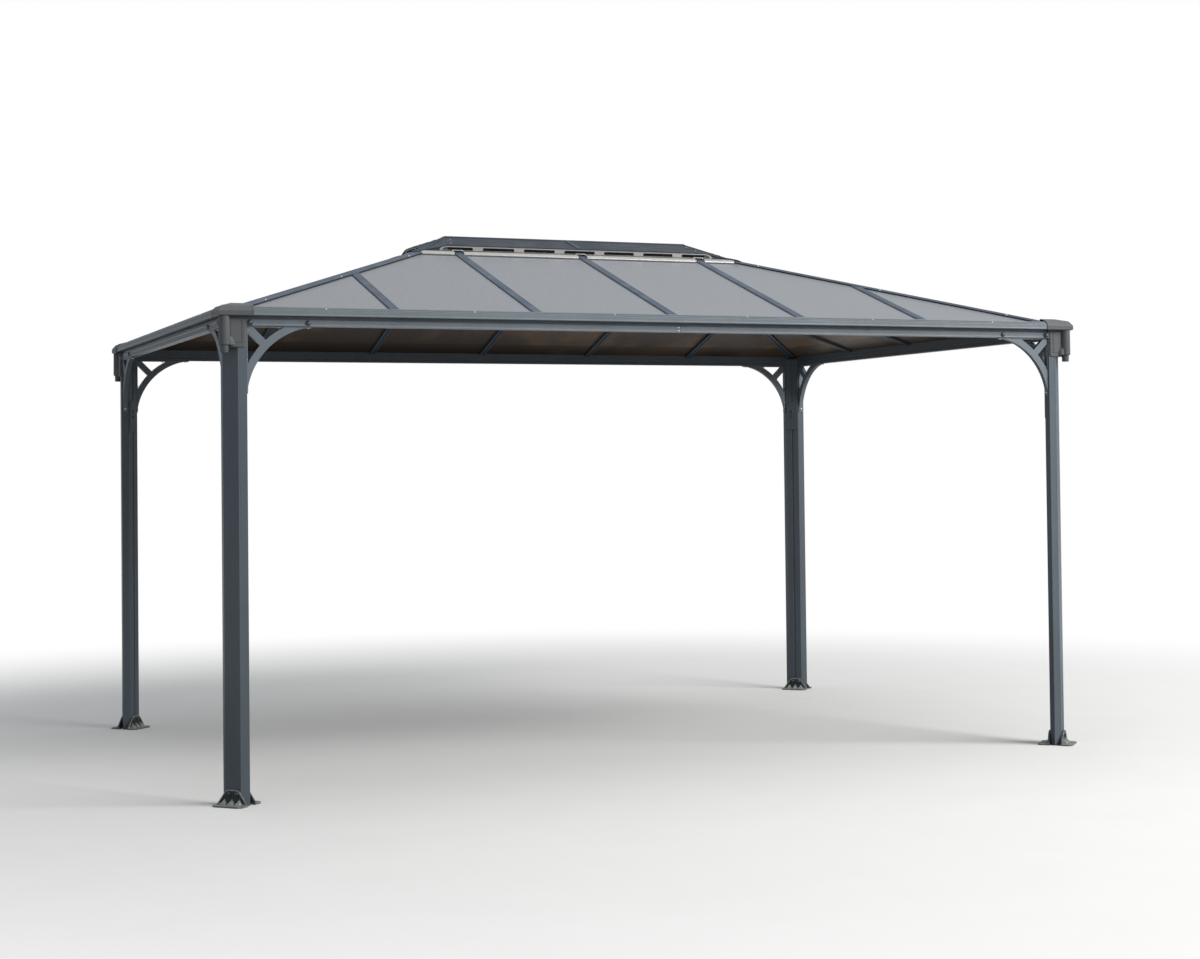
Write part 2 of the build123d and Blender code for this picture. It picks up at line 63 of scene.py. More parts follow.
@dataclass(frozen=True)
class Plan:
    """Sizes that the whole gazebo shares."""

    half_length: float = 2.077
    half_width: float = 1.402
    bay: float = 0.675
    post_half: float = 0.047
    flat_start: float = 0.008
    slant: float = 0.02758
    beam_under: float = 2.040
    beam_top: float = 2.083
    gutter_out: float = 0.076
    pitch: float = radians(18.5)
    vent_half_width: float = 0.194
    vent_setback: float = 0.005
    rail_height: float = 0.0095
    sheet_foot: float = 0.030
    sheet_foot_height: float = 2.102
    sheet_thickness: float = 0.008
    fit: float = 0.0003

    @property
    def slope(self) -> float:
        """Rise of the roof for each metre inwards."""
        return tan(self.pitch)

    @property
    def vent_run(self) -> float:
        """Distance from the post line to the upper tier."""
        return self.half_width - self.vent_half_width

    @property
    def vent_half_length(self) -> float:
        """Half the length of the upper tier."""
        return self.half_length - self.vent_run

    @property
    def frame_top(self) -> float:
        """Top of the throat frame, where the rail stands."""
        return self.roof_height(self.vent_run)

    @property
    def up_slope(self) -> Vector:
        """Direction up the front slope."""
        return Vector((0, cos(self.pitch), sin(self.pitch)))

    @property
    def slope_normal(self) -> Vector:
        """Direction straight away from the front slope."""
        return Vector((0, -sin(self.pitch), cos(self.pitch)))

    def roof_height(self, run: float) -> float:
        """Height of the sheets' upper face.

        Args:
            run: Distance inside the post line.

        Returns:
            The height above ground.
        """
        return self.sheet_foot_height + (run + self.sheet_foot) * self.slope


PLAN = Plan()


class Quarter(Enum):
    """A corner or a side, by its quarter turns from the front left corner or the front."""

    @property
    def label(self) -> str:
        """Name as used in piece names."""
        return self.name.lower()

    @property
    def turn(self) -> Matrix:
        """Turn about the middle of the plan."""
        return Matrix.Rotation(self.value * pi / 2, 4, "Z")


class Corner(Quarter):
    """A corner."""

    FRONT_LEFT = 0
    FRONT_RIGHT = 1
    BACK_RIGHT = 2
    BACK_LEFT = 3

    @property
    def place(self) -> Matrix:
        """Turn and shift from the corner frame."""
        outward = self.turn @ Vector((-1, -1, 0))
        shift = Vector((outward.x * PLAN.half_length, outward.y * PLAN.half_width, 0))
        return Matrix.Translation(shift) @ self.turn


class Side(Quarter):
    """A side."""

    FRONT = 0
    RIGHT = 1
    BACK = 2
    LEFT = 3

    @property
    def is_long(self) -> bool:
        """Whether this is the front or the back."""
        return self.value % 2 == 0

    @property
    def half(self) -> float:
        """Half length between post lines."""
        return PLAN.half_length if self.is_long else PLAN.half_width

    @property
    def bays(self) -> int:
        """Number of roof bays."""
        return 6 if self.is_long else 4

    @property
    def place(self) -> Matrix:
        """Turn and shift from the side frame."""
        depth = PLAN.half_width if self.is_long else PLAN.half_length
        return self.turn @ Matrix.Translation((0, -depth, 0))


# Finishes


class Wire:
    """An output of a node that takes part in arithmetic, which adds Math nodes."""

    def __init__(self, recipe: "Recipe", socket: bpy.types.NodeSocket) -> None:
        """Hold an output of one of a recipe's nodes."""
        self.recipe = recipe
        self.socket = socket

    def _math(self, operation: str, other: "Wire | float", swapped: bool = False) -> "Wire":
        """Join this and another value by one Math node."""
        pair = {0: other, 1: self} if swapped else {0: self, 1: other}
        return self.recipe.node("ShaderNodeMath", {"operation": operation}, pair)

    def __add__(self, other: "Wire | float") -> "Wire":
        """Sum."""
        return self._math("ADD", other)

    def __sub__(self, other: "Wire | float") -> "Wire":
        """Difference."""
        return self._math("SUBTRACT", other)

    def __rsub__(self, other: float) -> "Wire":
        """Difference from a number."""
        return self._math("SUBTRACT", other, swapped=True)

    def __mul__(self, other: "Wire | float") -> "Wire":
        """Product."""
        return self._math("MULTIPLY", other)

    __radd__ = __add__
    __rmul__ = __mul__


class Recipe:
    """The nodes of one material, or of the surroundings."""

    def __init__(self, name: str, kind: str = "Material") -> None:
        """Start an empty node tree with its output."""
        library = bpy.data.materials if kind == "Material" else bpy.data.worlds
        self.owner = library.new(name)
        self.owner.use_nodes = True
        self.tree = self.owner.node_tree
        self.tree.nodes.clear()
        self.output = self.tree.nodes.new(f"ShaderNodeOutput{kind}")

    def node(
        self,
        kind: str,
        settings: dict[str, object] | None = None,
        feeds: dict[str | int, object] | None = None,
        output: str | int = 0,
    ) -> Wire:
        """Add a node.

        Args:
            kind: The node's type.
            settings: Its settings, set before its sockets; stops are a ramp's colours.
            feeds: Values or wires by socket name or place.
            output: Which output to return.

        Returns:
            The chosen output as a wire.
        """
        made = self.tree.nodes.new(kind)
        for key, value in (settings or {}).items():
            if key == "stops":
                ramp = made.color_ramp
                while len(ramp.elements) < len(value):
                    ramp.elements.new(1.0)
                for element, (position, colour) in zip(ramp.elements, value):
                    element.position = position
                    element.color = (*colour, 1.0)
            else:
                setattr(made, key, value)
        for key, value in (feeds or {}).items():
            socket = made.inputs[key]
            if isinstance(value, Wire):
                self.tree.links.new(value.socket, socket)
            elif socket.type == "RGBA" and len(value) == 3:
                socket.default_value = (*value, 1.0)
            else:
                socket.default_value = value
        return Wire(self, made.outputs[output])

    def place(self, stretch: tuple[float, float, float] = (1, 1, 1)) -> Wire:
        """Object coordinates, stretched along the axes."""
        here = self.node("ShaderNodeTexCoord", output="Object")
        return self.node("ShaderNodeMapping", None, {"Vector": here, "Scale": stretch})

    def noise(self, where: Wire, scale: float, detail: float = 2.0, rough: float = 0.5) -> Wire:
        """Smooth noise from 0 to 1."""
        feeds = {"Vector": where, "Scale": scale, "Detail": detail, "Roughness": rough}
        return self.node("ShaderNodeTexNoise", None, feeds)

    def ease(self, value: Wire, low: float, high: float) -> Wire:
        """Smooth step from 0 at low to 1 at high."""
        settings = {"interpolation_type": "SMOOTHSTEP"}
        feeds = {"Value": value, "From Min": low, "From Max": high}
        return self.node("ShaderNodeMapRange", settings, feeds)

    def blend(self, share: Wire | float, first: object, second: object) -> Wire:
        """Mix two colours."""
        settings = {"data_type": "RGBA"}
        return self.node("ShaderNodeMix", settings, {0: share, 6: first, 7: second}, 2)

    def tones(self, share: Wire, colour: Colour, dark: float, light: float) -> Wire:
        """Mix a darker and a lighter tone of one colour."""
        return self.blend(share, shade(colour, dark), shade(colour, light))

    def along(self, where: Wire, axis: int) -> Wire:
        """One coordinate of a place or direction."""
        return self.node("ShaderNodeSeparateXYZ", None, {0: where}, axis)

    def facing_up(self) -> Wire:
        """How far the surface faces up: 1 on top, -1 below."""
        return self.along(self.node("ShaderNodeNewGeometry", output="Normal"), 2)

    def ray(self, kind: str) -> Wire:
        """1 for a ray of a kind, else 0."""
        return self.node("ShaderNodeLightPath", output=f"Is {kind} Ray")

    def either(self, share: Wire, first: Wire, second: Wire) -> Wire:
        """Mix two shaders."""
        return self.node("ShaderNodeMixShader", None, {0: share, 1: first, 2: second})

    def bump(self, height: Wire, depth: float, below: Wire | None = None) -> Wire:
        """Raise the surface by a height from 0 to 1."""
        feeds = {"Height": height, "Distance": depth, "Strength": 1.0}
        if below is not None:
            feeds["Normal"] = below
        return self.node("ShaderNodeBump", None, feeds)

    def surface(self, feeds: dict[str | int, object]) -> bpy.types.Material:
        """Close the recipe with a principled shader.

        Args:
            feeds: Values or wires for the shader's sockets.

        Returns:
            The finished material.
        """
        return self.close(self.node("ShaderNodeBsdfPrincipled", None, feeds))

    def close(self, shader: Wire) -> bpy.types.Material | bpy.types.World:
        """Lead a shader to the output."""
        self.tree.links.new(shader.socket, self.output.inputs["Surface"])
        return self.owner


def shade(colour: Colour, factor: float) -> Colour:
    """A colour made lighter or darker by a factor."""
    return tuple(min(1.0, part * factor) for part in colour)


@dataclass(frozen=True)
class PowderCoat:
    """Baked powder paint: clouding, a faint orange peel, rain streaks, dust on top, and, where asked,
    painted shade on faces that face up.
    """

    name: str
    colour: Colour
    gloss: float = 0.42
    dust: float = 0.35
    streaks: float = 0.12
    sheen: float = 0.35
    metal: float = 0.0
    top_grime: float = 0.0

    def material(self) -> bpy.types.Material:
        """Build the paint."""
        mix = Recipe(self.name)
        here = mix.place()
        cloud = mix.noise(here, 2.6, 3.0)
        peel = mix.noise(here, 620.0, 1.0)
        run_off = mix.noise(mix.place((26, 26, 1.1)), 1.0, 3.0)
        tone = cloud * 0.55 + run_off * self.streaks * 2.4
        body = mix.tones(mix.ease(tone, 0.15, 0.75), self.colour, 0.88, 1.13)
        up = mix.facing_up()
        # Painted shade: faces that face up are darkened by the given share.
        body = mix.blend(mix.ease(up, 0.35, 0.60) * self.top_grime, body, shade(self.colour, 0.35))
        patches = mix.ease(mix.noise(here, 9.0, 4.0), 0.35, 0.75)
        dusty = mix.ease(up, 0.35, 0.95) * patches * self.dust
        dusted = mix.blend(dusty, body, (0.36, 0.36, 0.35))
        rough = dusty * 0.3 + cloud * 0.10 + (self.gloss - 0.05)
        return mix.surface(
            {
                "Base Color": dusted,
                "Roughness": rough,
                "Normal": mix.bump(peel, 0.00009),
                "Metallic": self.metal,
                "Specular IOR Level": self.sheen,
            }
        )


@dataclass(frozen=True)
class MouldedPlastic:
    """Charcoal moulding: a fine spark-eroded grain and slight bleaching on top."""

    name: str
    colour: Colour

    def material(self) -> bpy.types.Material:
        """Build the plastic."""
        mix = Recipe(self.name)
        here = mix.place()
        cloud = mix.noise(here, 7.0, 3.0)
        grain = mix.noise(here, 1500.0, 1.0)
        bleached = mix.ease(mix.facing_up(), 0.2, 1.0) * cloud * 0.5
        body = mix.tones(cloud, self.colour, 0.86, 1.16)
        tone = mix.blend(bleached, body, shade(self.colour, 1.9))
        return mix.surface(
            {
                "Base Color": tone,
                "Roughness": cloud * 0.12 + 0.44,
                "Normal": mix.bump(grain, 0.00006),
                "Specular IOR Level": 0.3,
            }
        )


@dataclass(frozen=True)
class RoughCasting:
    """Grey green casting: pits, worn light edges on top and dirt in the low places."""

    name: str
    colour: Colour

    def material(self) -> bpy.types.Material:
        """Build the casting."""
        mix = Recipe(self.name)
        here = mix.place()
        pits = mix.noise(here, 420.0, 3.0, 0.6)
        blotch = mix.noise(here, 38.0, 4.0, 0.6)
        up = mix.ease(mix.facing_up(), 0.1, 0.9)
        body = mix.tones(blotch, self.colour, 0.62, 1.45)
        worn = tuple(part * 0.6 + 0.22 for part in self.colour)
        pale = mix.blend(up * mix.ease(blotch, 0.25, 0.7) * 0.75, body, worn)
        low = mix.along(here, 2)
        soiled = mix.blend((1.0 - mix.ease(low, 0.001, 0.012)) * 0.6, pale, (0.05, 0.045, 0.038))
        return mix.surface(
            {
                "Base Color": soiled,
                "Roughness": blotch * 0.25 + 0.42,
                "Metallic": 0.25,
                "Normal": mix.bump(pits, 0.0005, mix.bump(blotch, 0.0009)),
            }
        )


@dataclass(frozen=True)
class BrightZinc:
    """Plated fasteners: metal with faint turning marks and dull patches."""

    name: str
    colour: Colour
    roughness: float = 0.24

    def material(self) -> bpy.types.Material:
        """Build the plating."""
        mix = Recipe(self.name)
        here = mix.place()
        dull = mix.noise(here, 260.0, 3.0)
        return mix.surface(
            {
                "Base Color": mix.tones(dull, self.colour, 0.8, 1.2),
                "Metallic": 0.9,
                "Roughness": dull * 0.2 + self.roughness,
                "Normal": mix.bump(dull, 0.00008),
            }
        )


@dataclass(frozen=True)
class RoofSheet:
    """Twin wall sheet: pale grey with a fine speckle above; mottled bronze below, with warm patches of
    painted light and a painted shadow along the eave.
    """

    name: str
    across: tuple[float, float, float]
    depth_axis: int
    depth: float
    top: Colour = (0.315, 0.330, 0.350)
    bronze: Colour = (0.086, 0.056, 0.034)
    lit_bronze: Colour = (0.360, 0.220, 0.135)
    wall_pitch: float = 0.011
    eave_band: float = 0.135

    def material(self) -> bpy.types.Material:
        """Build the sheet."""
        mix = Recipe(self.name)
        here = mix.place()
        depth = mix.node("ShaderNodeMath", {"operation": "ABSOLUTE"}, {0: mix.along(here, self.depth_axis)})
        # Painted shadow of the gutter, seen through the sheet as a darker band along the eave below.
        band_start = self.depth - self.eave_band
        eave = mix.ease(depth, band_start, band_start + 0.025)
        speckle = mix.noise(here, 170.0, 2.0, 0.7)
        broad = mix.noise(here, 1.3, 3.0)
        top = mix.tones(mix.ease(speckle, 0.3, 0.7), self.top, 0.87, 1.11)
        top = mix.blend(broad * 0.35, top, shade(self.top, 0.86))
        # Broad warm patches on the underside: painted light of sun coming through the sheet.
        glow = mix.ease(mix.noise(here, 1.7, 4.0, 0.6), 0.42, 0.68)
        mottle = mix.noise(here, 14.0, 4.0, 0.65)
        under = mix.tones(mottle, self.bronze, 0.62, 1.25)
        under = mix.blend(glow * 0.72, under, self.lit_bronze)
        lines = mix.node(
            "ShaderNodeTexWave",
            {"wave_type": "BANDS", "bands_direction": "X", "wave_profile": "SIN"},
            {"Vector": mix.place(self.across), "Scale": 1.0 / (20 * self.wall_pitch) * pi},
        )
        under = mix.blend(lines * 0.30, under, shade(self.bronze, 0.45))
        # The underside takes the painted eave shadow.
        under = mix.blend(eave * 0.62, under, shade(self.bronze, 0.30))
        above = mix.ease(mix.facing_up(), -0.2, 0.2)
        tone = mix.blend(above, under, top)
        tone = mix.blend(lines * 0.07, tone, (0.02, 0.02, 0.02))
        return mix.surface(
            {
                "Base Color": tone,
                "Roughness": speckle * 0.08 + (0.40 - above * 0.19),
                "Normal": mix.bump(speckle, 0.00004, mix.bump(lines, 0.00002)),
                "Specular IOR Level": 0.4,
            }
        )


class Finish(Enum):
    """The gazebo's finishes, each with the record's slot that it belongs to."""

    FRAME = ("frame_metal", PowderCoat("slate_frame_paint", (0.112, 0.141, 0.165)))
    # Lighter copy of the frame paint for the bevelled edges: painted highlights along the edges.
    FRAME_EDGE = ("frame_metal", PowderCoat("slate_frame_edges", (0.170, 0.198, 0.222), 0.36, 0.2))
    # A lighter copy of the frame paint for the front eave and the braces: painted light, with painted shade
    # on faces that face up.
    EAVE = ("frame_metal", PowderCoat("paler_eave_paint", (0.192, 0.228, 0.262), dust=0.1, top_grime=0.65))
    # Its edges, lighter still: painted highlights.
    EAVE_EDGE = ("frame_metal", PowderCoat("paler_eave_edges", (0.290, 0.325, 0.355), 0.34, 0.2))
    BAR = ("roof_bar", PowderCoat("slate_blue_bar_paint", (0.066, 0.094, 0.136), 0.44, 0.2))
    # Lighter copy of the bar paint for the bevelled edges: painted highlights along the edges.
    BAR_EDGE = ("roof_bar", PowderCoat("slate_blue_bar_edges", (0.110, 0.142, 0.185), 0.40, 0.2))
    COVER = ("cover_metal", PowderCoat("dark_cover_paint", (0.034, 0.044, 0.061), 0.48, 0.12, sheen=0.3))
    # Lighter copy of the cover paint for the bevelled edges and the middle bars' tops: painted highlights.
    COVER_EDGE = ("cover_metal", PowderCoat("dark_cover_edges", (0.050, 0.065, 0.088), 0.44, 0.12))
    # A lighter tone than the strip's paint of the same metal, raised to brighten the rail's highlight:
    # painted highlight.
    RAIL = ("rail_metal", PowderCoat("pale_rail_paint", (0.450, 0.440, 0.422), 0.26, 0.15, metal=0.2))
    STRIP = ("rail_metal", PowderCoat("pale_strip_paint", (0.358, 0.352, 0.340), 0.30, 0.15, metal=0.1))
    PLASTIC = ("corner_plastic", MouldedPlastic("charcoal_plastic", (0.116, 0.125, 0.131)))
    # Lighter copy of the plastic for the bevelled edges: painted highlights along the edges.
    PLASTIC_EDGE = ("corner_plastic", MouldedPlastic("rubbed_plastic_edges", (0.205, 0.215, 0.222)))
    # Black: on the hips' side walls, and under the slotted strips, where it is painted shade in the gap
    # above the rail.
    SEAL = ("corner_plastic", MouldedPlastic("black_rubber_seal", (0.020, 0.021, 0.023)))
    # Two copies of one casting: the dark one on the upright plates is painted shade, the light one on the
    # lit faces is painted light.
    CASTING = ("cast_metal", RoughCasting("grey_green_casting", (0.050, 0.060, 0.059)))
    CASTING_WORN = ("cast_metal", RoughCasting("worn_grey_green_casting", (0.300, 0.330, 0.315)))
    BOLT = ("cast_metal", BrightZinc("dark_plated_bolt", (0.105, 0.116, 0.126), 0.34))
    FOOT_BOLT = ("cast_metal", BrightZinc("blackened_foot_bolt", (0.115, 0.122, 0.122), 0.30))
    SCREW = ("rail_metal", BrightZinc("bright_screw", (0.66, 0.66, 0.64), 0.2))
    SHEET_LONG = ("roof_sheet", RoofSheet("roof_sheet_long_sides", (1, 0, 0), 1, PLAN.half_width))
    SHEET_SHORT = ("roof_sheet", RoofSheet("roof_sheet_short_sides", (0, 1, 0), 0, PLAN.half_length))

    @property
    def slot(self) -> str:
        """The record's material slot."""
        return self.value[0]

    @property
    def material(self) -> bpy.types.Material:
        """The material, built on first use."""
        recipe = self.value[1]
        return bpy.data.materials.get(recipe.name) or recipe.material()


# The bench: primitives shaped by operators


RIGHT = Vector((1, 0, 0))
UP = Vector((0, 0, 1))
DIAGONAL = Vector((1, 1, 0)).normalized()
CROSSWISE = Vector((1, -1, 0)).normalized()


def bare_bench() -> None:
    """Leave edit mode and deselect everything."""
    if bpy.context.mode != "OBJECT":
        bpy.ops.object.mode_set(mode="OBJECT")
    bpy.ops.object.select_all(action="DESELECT")


def arc(centre: Point, radius: float, start: float, end: float, steps: int = 6) -> list[Point]:
    """Points along an arc.

    Args:
        centre: Its centre in the plane of the outline.
        radius: Its radius.
        start: Where it starts, in degrees.
        end: Where it ends, in degrees.
        steps: Number of chords.

    Returns:
        The points, both ends included.
    """
    angles = [radians(start + (end - start) * n / steps) for n in range(steps + 1)]
    return [(centre[0] + radius * cos(a), centre[1] + radius * sin(a)) for a in angles]


def rounded_end(tip: Point, run: float, rise: float, steps: int = 8) -> list[Point]:
    """Points of a quarter ellipse that climbs back from the tip of a strip.

    Args:
        tip: Where it starts, at the foot.
        run: How far back it reaches, negative towards lower values.
        rise: How far it climbs.
        steps: Number of chords.

    Returns:
        The points, both ends included.
    """
    angles = [pi / 2 * n / steps for n in range(steps + 1)]
    return [(tip[0] + run * (1 - cos(a)), tip[1] + rise * sin(a)) for a in angles]


def grooved(start: Point, end: Point, grooves: Sequence[tuple[float, float, float]]) -> list[Point]:
    """A straight run of an outline with grooves on its left.

    Args:
        start: Where the run starts.
        end: Where it ends.
        grooves: For each, its middle from the middle of the run, its width and its depth.

    Returns:
        The points from start to end.
    """
    a, b = Vector(start), Vector(end)
    along = (b - a).normalized()
    inwards = Vector((-along.y, along.x))
    middle = (a + b) / 2
    points = [a]
    for offset, width, depth in sorted(grooves):
        near, far = middle + along * (offset - width / 2), middle + along * (offset + width / 2)
        points += [near, near + inwards * depth, far + inwards * depth, far]
    points.append(b)
    return [(p.x, p.y) for p in points]


def laid_out(section: Sequence[Point], start: Vector, across: Vector, up: Vector = UP) -> list[Vector]:
    """The places of a section's points.

    Args:
        section: Points by distance along two directions.
        start: Where the section's origin lies.
        across: The first direction.
        up: The second direction.

    Returns:
        The places in order.
    """
    return [start + across * a + up * b for a, b in section]


def round_marked(width: float, steps: int) -> None:
    """Round the selected edges."""
    bpy.ops.mesh.bevel(offset=width, segments=steps, affect="EDGES", clamp_overlap=True)


def raise_marked(depth: float) -> None:
    """Raise the selected faces along their normals, or sink them by a negative depth."""
    bpy.ops.mesh.extrude_region_shrink_fatten(TRANSFORM_OT_shrink_fatten={"value": depth})


class Work:
    """A mesh on the bench, added as a primitive and shaped by operators.

    Its two material slots hold undercoats until it is dressed, so that joining keeps the slots.
    """

    undercoats = ("undercoat", "edge_undercoat")

    def __init__(self, name: str) -> None:
        """Take up the object that an operator has just added."""
        self.obj = bpy.context.object
        self.name = name
        bpy.ops.object.transform_apply(location=True, rotation=True, scale=True)
        if not self.obj.data.materials:
            for coat in self.undercoats:
                paint = bpy.data.materials.get(coat) or bpy.data.materials.new(coat)
                self.obj.data.materials.append(paint)

    @property
    def name(self) -> str:
        """Name of the object and its mesh."""
        return self.obj.name

    @name.setter
    def name(self, value: str) -> None:
        """Rename the object and its mesh."""
        self.obj.name = self.obj.data.name = value

    @classmethod
    def block(cls, name: str, low: Sequence[float], high: Sequence[float]) -> "Work":
        """A block between its lowest and highest corners."""
        a, b = Vector(low), Vector(high)
        bare_bench()
        bpy.ops.mesh.primitive_cube_add(size=1, location=(a + b) / 2, scale=b - a)
        return cls(name)

    @classmethod
    def drum(
        cls, name: str, foot: Sequence[float], height: float, radius: float, top: float, sides: int = 32
    ) -> "Work":
        """An upright round bar.

        Args:
            name: The piece's name.
            foot: Centre of its lower end.
            height: Its height.
            radius: Radius at the foot.
            top: Radius at the top.
            sides: Number of flats round it.

        Returns:
            The new work.
        """
        bare_bench()
        middle = Vector(foot) + Vector((0, 0, height / 2))
        bpy.ops.mesh.primitive_cone_add(
            vertices=sides, radius1=radius, radius2=top, depth=height, location=middle
        )
        return cls(name)

    @classmethod
    def traced(cls, name: str, outline: Sequence[Vector], run: Vector) -> "Work":
        """Trace a closed outline from one point, fill it and extrude it.

        Args:
            name: The piece's name.
            outline: Its points in order.
            run: Direction and length of the extrusion.

        Returns:
            The new work, with its faces pointing outwards.
        """
        bare_bench()
        bpy.ops.mesh.primitive_plane_add(size=0.01, location=outline[0])
        work = cls(name)
        with work.editing("VERT", "SELECT"):
            bpy.ops.mesh.merge(type="CENTER")
            for here, there in zip(outline, outline[1:]):
                bpy.ops.mesh.extrude_region_move(TRANSFORM_OT_translate={"value": there - here})
            bpy.ops.mesh.select_all(action="SELECT")
            bpy.ops.mesh.edge_face_add()
            bpy.ops.mesh.extrude_region_move(TRANSFORM_OT_translate={"value": run})
        return work.face_outwards()

    @classmethod
    def plate(cls, name: str, outline: Sequence[Point], y: float, depth: float) -> "Work":
        """An upright plate with an outline in X and Z, from a place on Y over a signed depth."""
        return cls.traced(name, [Vector((x, y, z)) for x, z in outline], Vector((0, depth, 0)))

    @classmethod
    def prism(cls, name: str, outline: Sequence[Point], z: float, height: float) -> "Work":
        """A prism with an outline in X and Y, from a height upwards."""
        return cls.traced(name, [Vector((x, y, z)) for x, y in outline], Vector((0, 0, height)))

    def hold(self) -> None:
        """Select this object alone."""
        bare_bench()
        self.obj.select_set(True)
        bpy.context.view_layer.objects.active = self.obj

    @contextmanager
    def editing(self, kind: str = "FACE", action: str = "DESELECT") -> Iterator[None]:
        """Edit mode with nothing selected, or all."""
        self.hold()
        bpy.ops.object.mode_set(mode="EDIT")
        bpy.ops.mesh.select_mode(type=kind)
        bpy.ops.mesh.select_all(action=action)
        yield
        bpy.ops.object.mode_set(mode="OBJECT")

    def _mark(self, kind: str, test: Callable[[object], bool]) -> None:
        """Select the faces, edges or points that pass a test."""
        mesh = bmesh.from_edit_mesh(self.obj.data)
        for part in getattr(mesh, kind):
            if test(part):
                part.select_set(True)
        mesh.select_flush_mode()
        bmesh.update_edit_mesh(self.obj.data)

    def mark_faces(self, test: FaceTest) -> None:
        """Select faces by the middle of their extent and their normal."""
        self._mark("faces", lambda face: test(face.calc_center_bounds(), face.normal))

    def mark_edges(self, test: EdgeTest) -> None:
        """Select edges by their middle and direction."""

        def passes(edge: bmesh.types.BMEdge) -> bool:
            a, b = (v.co for v in edge.verts)
            return test((a + b) / 2, (b - a).normalized())

        self._mark("edges", passes)

    def face_outwards(self) -> "Work":
        """Merge doubled points and turn every face outwards."""
        with self.editing("VERT", "SELECT"):
            bpy.ops.mesh.remove_doubles(threshold=0.00001)
            bpy.ops.mesh.normals_make_consistent(inside=False)
        return self

    def bevel(self, width: float, steps: int, test: EdgeTest) -> "Work":
        """Round the edges that pass a test."""
        with self.editing("EDGE"):
            self.mark_edges(test)
            round_marked(width, steps)
        return self

    def bevel_hollows(self, width: float, steps: int, along: Vector) -> "Work":
        """Round the hollow edges that run along a direction."""

        def hollow(edge: bmesh.types.BMEdge) -> bool:
            direction = (edge.verts[1].co - edge.verts[0].co).normalized()
            if abs(direction.dot(along)) < 0.99 or not edge.is_manifold:
                return False
            return edge.calc_face_angle_signed(0.0) < -0.4

        with self.editing("EDGE"):
            self._mark("edges", hollow)
            round_marked(width, steps)
        return self

    def soften(self, width: float = 0.0008, steps: int = 2, edge_slot: int = -1) -> "Work":
        """Break every sharp edge, and give the new faces a material slot."""
        trim = self.obj.modifiers.new("soften", "BEVEL")
        trim.width, trim.segments, trim.limit_method = width, steps, "ANGLE"
        trim.angle_limit = radians(32)
        trim.material = edge_slot
        return self.apply(trim)

    def apply(self, modifier: bpy.types.Modifier) -> "Work":
        """Apply a modifier."""
        self.hold()
        bpy.ops.object.modifier_apply(modifier=modifier.name)
        return self

    def combine(self, operation: str, other: "Work") -> "Work":
        """Unite with, or cut by, another work, which is used up."""
        step = self.obj.modifiers.new("combine", "BOOLEAN")
        step.operation, step.object, step.solver = operation, other.obj, "EXACT"
        self.apply(step)
        bpy.data.objects.remove(other.obj)
        return self

    def inset(self, margin: float, depth: float, test: FaceTest) -> "Work":
        """Inset the faces that pass a test, and sink or raise what is inside."""
        with self.editing():
            self.mark_faces(test)
            bpy.ops.mesh.inset(thickness=margin, depth=0.0)
            if depth:
                raise_marked(depth)
        return self

    def slice(self, point: Sequence[float], normal: Sequence[float]) -> "Work":
        """Cut off what lies on the side that a plane's normal points to."""
        with self.editing("VERT", "SELECT"):
            bpy.ops.mesh.bisect(
                plane_co=point, plane_no=normal, use_fill=True, clear_outer=True, clear_inner=False
            )
        return self

    def move(self, matrix: Matrix) -> "Work":
        """Turn, shift or mirror the whole mesh."""
        self.hold()
        self.obj.matrix_world = matrix
        bpy.ops.object.transform_apply(location=True, rotation=True, scale=True)
        return self.face_outwards() if matrix.determinant() < 0 else self

    def copy(self, name: str) -> "Work":
        """Another with its own mesh."""
        self.hold()
        bpy.ops.object.duplicate(linked=False)
        return Work(name)

    def join(self, *others: "Work") -> "Work":
        """Take other works into this mesh."""
        self.hold()
        for other in others:
            other.obj.select_set(True)
        bpy.ops.object.join()
        return self

    def tint(self, slot: int, test: FaceTest | None = None) -> "Work":
        """Give a material slot to the faces that pass a test, or to all."""
        for face in self.obj.data.polygons:
            if test is None or test(face.center, face.normal):
                face.material_index = slot
        return self

    def smooth(self, angle: float = 35.0) -> "Work":
        """Shade smooth across edges flatter than an angle in degrees."""
        self.hold()
        bpy.ops.object.shade_smooth_by_angle(angle=radians(angle))
        return self

    def dress(self, finish: Finish, replaced: Sequence[str] = (), edges: Finish | None = None) -> None:
        """Give the piece its finish and hang it on the frame.

        Args:
            finish: Its finish.
            replaced: The frame's nodes that it stands for.
            edges: The finish of its second material slot.
        """
        self.obj.data.materials[0] = finish.material
        self.obj.data.materials[1] = (edges or finish).material
        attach(self.obj, "root")
        finish.slot
        if replaced:
            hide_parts(*replaced)
        log.info("%s: %d faces", self.name, len(self.obj.data.polygons))


def joined(parts: Sequence[Work], name: str) -> Work:
    """Several works as one mesh."""
    parts[0].join(*parts[1:]).name = name
    return parts[0]


def at_corners(pattern: Work, name: str) -> list[Work]:
    """Copies of a corner piece, one at each corner; the pattern itself is used up."""
    copies = [pattern.copy(f"{corner.label}_{name}").move(corner.place) for corner in Corner]
    bpy.data.objects.remove(pattern.obj)
    return copies


def dress_corners(
    pattern: Work, name: str, finish: Finish, node: str = "", edges: Finish | None = None
) -> None:
    """Set and dress a copy of a corner piece at each corner; the pattern itself is used up.

    Args:
        pattern: The piece in the corner frame.
        name: What follows the corner's name in the name of the piece.
        finish: Its finish.
        node: What follows the corner's name in the node of the frame that it stands for.
        edges: The finish of its second material slot.
    """
    for corner, work in zip(Corner, at_corners(pattern, name)):
        work.dress(finish, [f"{corner.label}_{node}"] if node else (), edges)


